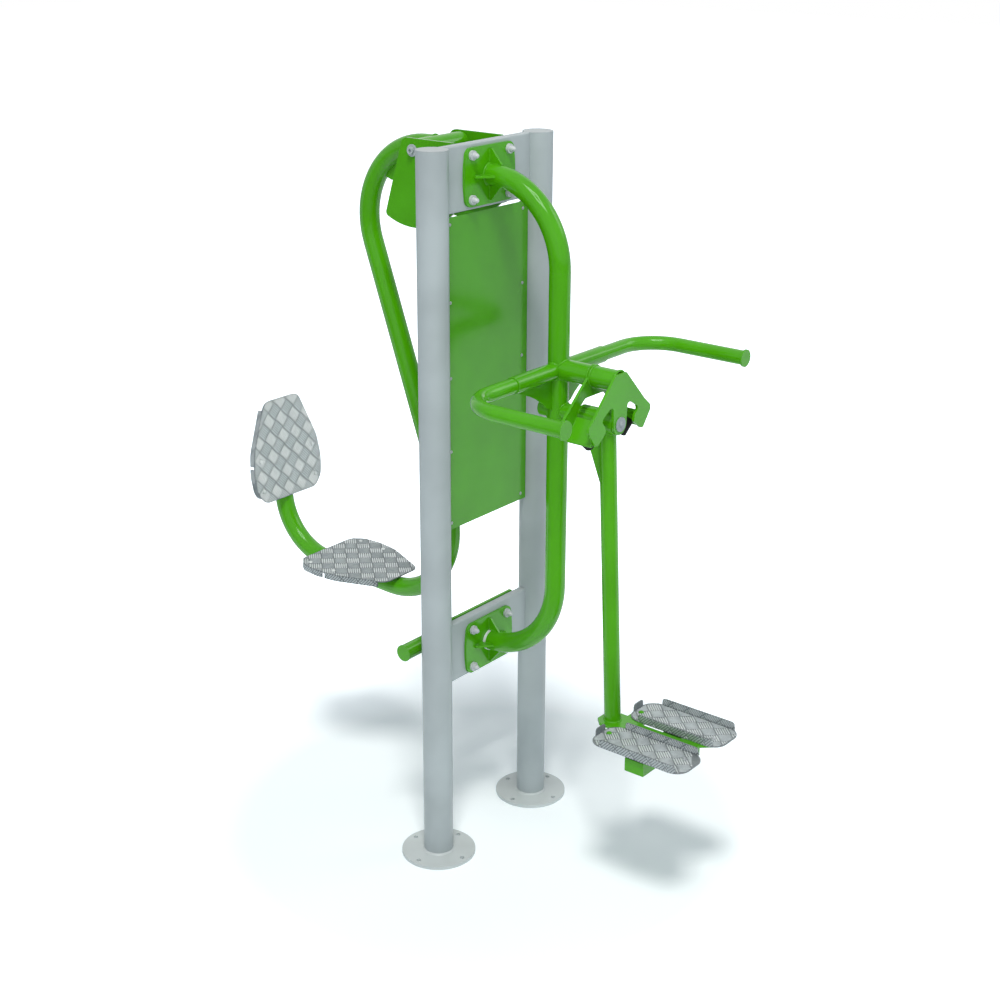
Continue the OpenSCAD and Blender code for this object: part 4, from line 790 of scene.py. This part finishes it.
def spreadEvenly(path, closed):
    # points at even distances along a path, and that distance
    points = [Vector(p) for p in path]
    if closed:
        points.append(points[0].copy())
    lengths = [0]
    for a, b in zip(points, points[1:]):
        lengths.append(lengths[-1] + (b - a).length)
    count = max(weldBead["fewest"], int(lengths[-1] / weldBead["station"]))
    even, n = [], 0
    for k in range(count if closed else count + 1):
        s = lengths[-1] * k / count
        while n < len(points) - 2 and lengths[n + 1] < s:
            n += 1
        share = (s - lengths[n]) / max(lengths[n + 1] - lengths[n], tiny)
        even.append(points[n].lerp(points[n + 1], share))
    return even, lengths[-1] / count


def addBead(bm, path, closed, size=weldBead["size"]):
    even, distance = spreadEvenly(path, closed)
    rings = []
    for k, point in enumerate(even):
        ahead = even[(k + 1) % len(even)] if closed or k < len(even) - 1 else point
        behind = even[k - 1] if closed or k > 0 else point
        along = (ahead - behind).normalized()
        side = along.cross(Vector(weldBead["askew"])).normalized()
        up = side.cross(along)
        wave = 1 + weldBead["rippleShare"] * math.cos(2 * math.pi * distance * k / weldBead["pitch"])
        if not closed:
            fromEnd = min(k, len(even) - 1 - k)
            wave *= min(1, weldBead["endShare"] + fromEnd * weldBead["stepShare"])
        rings.append([bm.verts.new(point + (side * math.cos(turn) + up * math.sin(turn)) * size * wave)
                      for turn in turns(weldBead["sides"])])
    joinRings(bm, rings, closed)


def circlePoints(centre, axis, radius):
    axis = Vector(axis).normalized()
    side = axis.orthogonal().normalized()
    up = axis.cross(side)
    return [Vector(centre) + (side * math.cos(turn) + up * math.sin(turn)) * radius
            for turn in turns(weldBead["circleSteps"])]


# radii of the tubes, places of their axes, and the faces that they are welded to
cTube = {"radius": highCorner("front_tube").x,
         "upright": lowCorner("front_tube").y + highCorner("front_tube").x,
         "upperRun": centreOf("upper_front_plate").z, "lowerRun": centreOf("lower_front_plate").z,
         "plateFace": lowCorner("lower_front_plate").y}
beam = {"radius": highCorner("pivot_beam").x, "z": centreOf("pivot_beam").z}
bracket = {"z": centreOf("bracket_tube").z, "inTube": 0.0002, "rearFace": highCorner("rear_bracket").y,
           "stopFaces": (lowCorner("rear_bracket").y, highCorner("front_bracket").y)}


def addTubeWelds(bm):
    # level tubes let into the upright tube, from the front and the back
    for radius, height, signs in ((beam["radius"], beam["z"], (-1, 1)),
                                  (cTube["radius"] - bracket["inTube"], bracket["z"], (-1,))):
        for sign in signs:
            ring = []
            for turn in turns(weldBead["saddleSteps"]):
                x = radius * math.sin(turn)
                y = cTube["upright"] + sign * math.sqrt(max(cTube["radius"] ** 2 - x * x, 0))
                ring.append((x, y, height + radius * math.cos(turn)))
            addBead(bm, ring, True)
    # straight tube ends: the C tube on its upper plate, and the bracket tube on the bracket plates
    addBead(bm, circlePoints((0, cTube["plateFace"], cTube["upperRun"]), (0, 1, 0), cTube["radius"]), True)
    for y in (bracket["rearFace"], *bracket["stopFaces"]):
        addBead(bm, circlePoints((0, y, bracket["z"]), (0, 1, 0), cTube["radius"]), True)


sleeves = {"radius": highCorner("right_sleeve").z - centreOf("right_sleeve").z,
           "z": centreOf("right_sleeve").z, "end": highCorner("right_sleeve").x,
           "grip": 0.0212, "endGap": 0.0012, "endBead": 0.0022}


def addSleeveWelds(bm):
    # the handlebars' sleeves, at the upright tube and at their outer ends
    s = sleeves
    for sign in (-1, 1):
        ring = []
        for turn in turns(weldBead["saddleSteps"]):
            y = s["radius"] * math.sin(turn)
            x = sign * math.sqrt(cTube["radius"] ** 2 - y * y)
            ring.append((x, cTube["upright"] + y, s["z"] + s["radius"] * math.cos(turn)))
        addBead(bm, ring, True)
        end = (sign * s["end"], cTube["upright"], s["z"])
        addBead(bm, circlePoints(end, (1, 0, 0), s["grip"] + s["endGap"]), True, s["endBead"])


stops = {"limit": jointOf("pendulum_swing")["range_deg"][1], "along": (0.036, 0.106),
         "faces": (0.069, 0.077), "bead": 0.0022}


def addStopWelds(bm):
    # both faces of each sloping stop plate, where it meets the two bracket plates
    turn = math.radians(90 - stops["limit"])
    pivotZ = jointOf("pendulum_swing")["pos_m"][2]
    for sign in (-1, 1):
        for face in stops["faces"]:
            for y in bracket["stopFaces"]:
                line = []
                for x in stops["along"]:
                    line.append((sign * (x * math.cos(turn) + face * math.sin(turn)), y,
                                 pivotZ - x * math.sin(turn) + face * math.cos(turn)))
                addBead(bm, line, False, stops["bead"])


gripWebs = {"half": highCorner("handle_webs").y - cTube["upright"], "foot": lowCorner("handle_webs").z,
            "tip": highCorner("handle_webs").x, "endGap": 0.004, "cornerGap": 0.003, "bead": 0.0020}


def addGripWebWelds(bm):
    # the gussets under the sleeves, down the upright tube and out along the sleeve
    w = gripWebs
    inner = math.sqrt(cTube["radius"] ** 2 - w["half"] ** 2)
    under = sleeves["z"] - math.sqrt(sleeves["radius"] ** 2 - w["half"] ** 2)
    foot, tip = w["foot"] + w["endGap"], w["tip"] - w["endGap"]
    for sign in (-1, 1):
        for y in (cTube["upright"] - w["half"], cTube["upright"] + w["half"]):
            upright = [(sign * inner, y, foot), (sign * inner, y, under - weldBead["gap"])]
            level = [(sign * (inner + w["cornerGap"]), y, under), (sign * tip, y, under)]
            addBead(bm, upright, False, w["bead"])
            addBead(bm, level, False, w["bead"])


gussets = {"half": 0.003, "size": 0.041, "bend": 0.240, "straight": 0.004, "steps": 8, "short": 0.006,
           "bead": 0.0018}


def addGussetWelds(bm):
    # four small gussets round each end of the C tube, on the plate and along the tube, which bends away
    t, g = cTube, gussets
    runs = [weldBead["gap"] + (g["size"] - g["short"]) * n / g["steps"] for n in range(g["steps"] + 1)]
    for height, sign in ((t["upperRun"], -1), (t["lowerRun"], 1)):
        for outX, outZ in ((0, 1), (1, 0), (0, -1), (-1, 0)):
            for edge in (-g["half"], g["half"]):
                face, line = [], []
                for run in runs:
                    r = t["radius"] + run
                    face.append((outX * r + outZ * edge, t["plateFace"], height + outZ * r + outX * edge))
                    past = max(0, run - g["straight"])
                    middle = height + sign * (g["bend"] - math.sqrt(g["bend"] ** 2 - past ** 2))
                    if outX:
                        dz = height + edge - middle
                        line.append((outX * math.sqrt(t["radius"] ** 2 - dz * dz), t["plateFace"] - run,
                                     height + edge))
                    else:
                        line.append((edge, t["plateFace"] - run,
                                     middle + outZ * math.sqrt(t["radius"] ** 2 - edge ** 2)))
                addBead(bm, face, False, g["bead"])
                addBead(bm, line, False, g["bead"])


cheeks = {"faces": (lowCorner("right_cheek").x, highCorner("right_cheek").x), "lowGap": 0.004,
          "highGap": 0.002, "bead": 0.0024}
footBar = {"radius": 0.02415, "y": centreOf("foot_bar").y, "z": centreOf("foot_bar_stub").z,
           "stub": highCorner("foot_bar_stub").x, "bead": 0.0026}


def addRearWelds(bm):
    # the cheeks on the upper back plate, and the foot bar's stub at both ends
    low, high = lowCorner("upper_back_plate"), highCorner("upper_back_plate")
    for sign in (-1, 1):
        for x in cheeks["faces"]:
            line = [(sign * x, high.y, z) for z in (low.z + cheeks["lowGap"], high.z - cheeks["highGap"])]
            addBead(bm, line, False, cheeks["bead"])
    bar = footBar
    start = (0, highCorner("lower_back_plate").y, bar["z"])
    addBead(bm, circlePoints(start, (0, 1, 0), bar["stub"]), True, bar["bead"])
    ring = []
    for turn in turns(weldBead["circleSteps"]):
        dz = bar["stub"] * math.cos(turn)
        y = bar["y"] - math.sqrt(bar["radius"] ** 2 - dz * dz)
        ring.append((bar["stub"] * math.sin(turn), y, bar["z"] + dz))
    addBead(bm, ring, True, bar["bead"])


def makeFrameWelds():
    bm = bmesh.new()
    addTubeWelds(bm)
    addSleeveWelds(bm)
    addStopWelds(bm)
    addGripWebWelds(bm)
    addGussetWelds(bm)
    addRearWelds(bm)
    finishMesh("frameWelds", bm, [green], "frame")


seatHub = {"rise": 0.08, "radius": 0.03015, "start": 0.0121}


def makeSeatWelds():
    # saddle between the arm and its hub, which leans up by the arm's rise
    bm = bmesh.new()
    pivot = Vector(jointOf("seat_swing_hinge")["pos_m"])
    turn = math.radians(seatHub["rise"])
    ring = []
    for angle in turns(weldBead["saddleSteps"]):
        x, up = seatHub["radius"] * math.sin(angle), seatHub["radius"] * math.cos(angle)
        out = max(abs(x), seatHub["start"])
        ring.append((x, pivot.y + out * math.cos(turn) - up * math.sin(turn),
                     pivot.z + out * math.sin(turn) + up * math.cos(turn)))
    addBead(bm, ring, True)
    finishMesh("seatWelds", bm, [green], "seat_swing")


# the arm leans forward on its way down: metres forward for each metre down
pendulumArm = {"topY": -0.427, "leanShare": 47 / 907, "radius": highCorner("pendulum_arm").x, "hub": 0.033}


def makePendulumWelds():
    # saddle under the hub and the ring where the arm stands on its base
    bm = bmesh.new()
    arm = pendulumArm
    pivotZ, baseZ = jointOf("pendulum_swing")["pos_m"][2], highCorner("arm_base").z
    saddle, foot = [], []
    for angle in turns(weldBead["saddleSteps"]):
        x, y = arm["radius"] * math.cos(angle), arm["radius"] * math.sin(angle)
        drop = math.sqrt(arm["hub"] ** 2 - x * x)
        saddle.append((x, arm["topY"] + y - drop * arm["leanShare"], pivotZ - drop))
        foot.append((x, arm["topY"] + y - (pivotZ - baseZ) * arm["leanShare"], baseZ))
    addBead(bm, saddle, True)
    addBead(bm, foot, True)
    finishMesh("pendulumWelds", bm, [green], "pendulum")


makeFrameWelds()
makeSeatWelds()
makePendulumWelds()
print("welds run")

# the floor glows white well away from the station, and little enough near it to keep the shadows
floorLook = {"size": 30, "tone": (0.885, 0.955, 0.985, 1), "darkTone": (0.25, 0.25, 0.25, 1),
             "glowColour": (0.95, 1.0, 1.05, 1), "glowReach": (0.75, 1.7), "glowLevels": (0.07, 1.0),
             "inPaint": 0.10, "frontWay": (-0.783, -0.622, 0), "frontReach": (0.2, 1.6)}


def makeFloor():
    bm = bmesh.new()
    bmesh.ops.create_grid(bm, x_segments=1, y_segments=1, size=floorLook["size"])
    mesh = bpy.data.meshes.new("floor")
    bm.to_mesh(mesh)
    bm.free()
    floor = bpy.data.objects.new("floor", mesh)
    bpy.context.collection.objects.link(floor)
    material = bpy.data.materials.new("floorWhite")
    material.use_nodes = True
    tree = material.node_tree
    tree.nodes.clear()
    rays = addNode(tree, "ShaderNodeLightPath").outputs
    place = addNode(tree, "ShaderNodeTexCoord").outputs["Object"]
    away = addNode(tree, "ShaderNodeVectorMath", {0: place}, operation="LENGTH").outputs["Value"]
    glow = mathNode(tree, "MULTIPLY", rays["Is Camera Ray"],
                    rangeNode(tree, away, *floorLook["glowReach"], *floorLook["glowLevels"]))
    # in reflections the floor in front of the station stays dark, so that the paint keeps its colour
    towards = addNode(tree, "ShaderNodeVectorMath", {0: place, 1: floorLook["frontWay"]},
                      operation="DOT_PRODUCT").outputs["Value"]
    mirrored = mathNode(tree, "MAXIMUM", rays["Is Glossy Ray"], rays["Is Transmission Ray"])
    inFront = mathNode(tree, "MULTIPLY", mirrored, rangeNode(tree, towards, *floorLook["frontReach"]))
    behind = mathNode(tree, "MULTIPLY", mirrored,
                      rangeNode(tree, towards, *floorLook["frontReach"], floorLook["inPaint"], 0))
    diffuse = addNode(tree, "ShaderNodeBsdfDiffuse",
                      {"Color": mixColour(tree, inFront, floorLook["tone"], floorLook["darkTone"])})
    emission = addNode(tree, "ShaderNodeEmission", {"Color": floorLook["glowColour"],
                                                    "Strength": mathNode(tree, "ADD", glow, behind)})
    both = addNode(tree, "ShaderNodeAddShader", {0: diffuse.outputs[0], 1: emission.outputs[0]})
    addNode(tree, "ShaderNodeOutputMaterial", {"Surface": both.outputs[0]})
    mesh.materials.append(material)


# the world is white to the eye, soft as a light, and seen in paint mostly behind the station
skyLook = {"level": 0.43, "colour": (0.94, 0.99, 1.03, 1), "inPaintLevels": (0.2, 0.9),
           "backWay": (0.783, 0.622, 0), "backSpan": (0.45, 0.9)}


def makeWorld():
    world = bpy.data.worlds.new("studio")
    bpy.context.scene.world = world
    world.use_nodes = True
    tree = world.node_tree
    rays = addNode(tree, "ShaderNodeLightPath").outputs
    mirrored = mathNode(tree, "MAXIMUM", rays["Is Glossy Ray"], rays["Is Transmission Ray"])
    place = addNode(tree, "ShaderNodeTexCoord").outputs["Generated"]
    away = addNode(tree, "ShaderNodeVectorMath", {0: place, 1: skyLook["backWay"]},
                   operation="DOT_PRODUCT").outputs["Value"]
    mirrored = mathNode(tree, "MULTIPLY", mirrored,
                        rangeNode(tree, away, *skyLook["backSpan"], *skyLook["inPaintLevels"]))
    seen = mathNode(tree, "MAXIMUM", rays["Is Camera Ray"], mirrored)
    background = tree.nodes["Background"]
    feed(tree, background.inputs["Color"], mixColour(tree, seen, skyLook["colour"], (1, 1, 1, 1)))
    feed(tree, background.inputs["Strength"], rangeNode(tree, seen, 0, 1, skyLook["level"], 1.0))


# soft lamps: some only light the paint, and one only shows in it as a broad gloss
sunTint, plainWhite = (1, 0.955, 0.91), (1, 1, 1)
softboxes = [{"place": (-5, -4, 13), "size": 2.6, "power": 1220, "colour": sunTint, "use": "light"},
             {"place": (-4.4, -3.6, 3.2), "size": 3.2, "power": 60, "colour": plainWhite, "use": "light"},
             {"place": (6, -5, 6.5), "size": 4, "power": 90, "colour": plainWhite, "use": "both"},
             {"place": (-5, -4, 13), "size": 6, "power": 640, "colour": plainWhite, "use": "gloss"}]
lampAim = (0, 0, 1)


def makeLamps():
    for n, box in enumerate(softboxes):
        data = bpy.data.lights.new(f"softbox{n}", "AREA")
        data.shape = "SQUARE"
        data.size = box["size"]
        data.energy = box["power"]
        data.color = box["colour"]
        lamp = bpy.data.objects.new(f"softbox{n}", data)
        lamp.location = box["place"]
        lamp.rotation_mode = "QUATERNION"
        lamp.rotation_quaternion = (Vector(lampAim) - Vector(box["place"])).to_track_quat("-Z", "Y")
        lamp.visible_glossy = box["use"] != "light"
        lamp.visible_diffuse = box["use"] != "gloss"
        bpy.context.collection.objects.link(lamp)


makeFloor()
makeWorld()
makeLamps()
bpy.context.scene.view_settings.view_transform = "Standard"
print("stage lit")
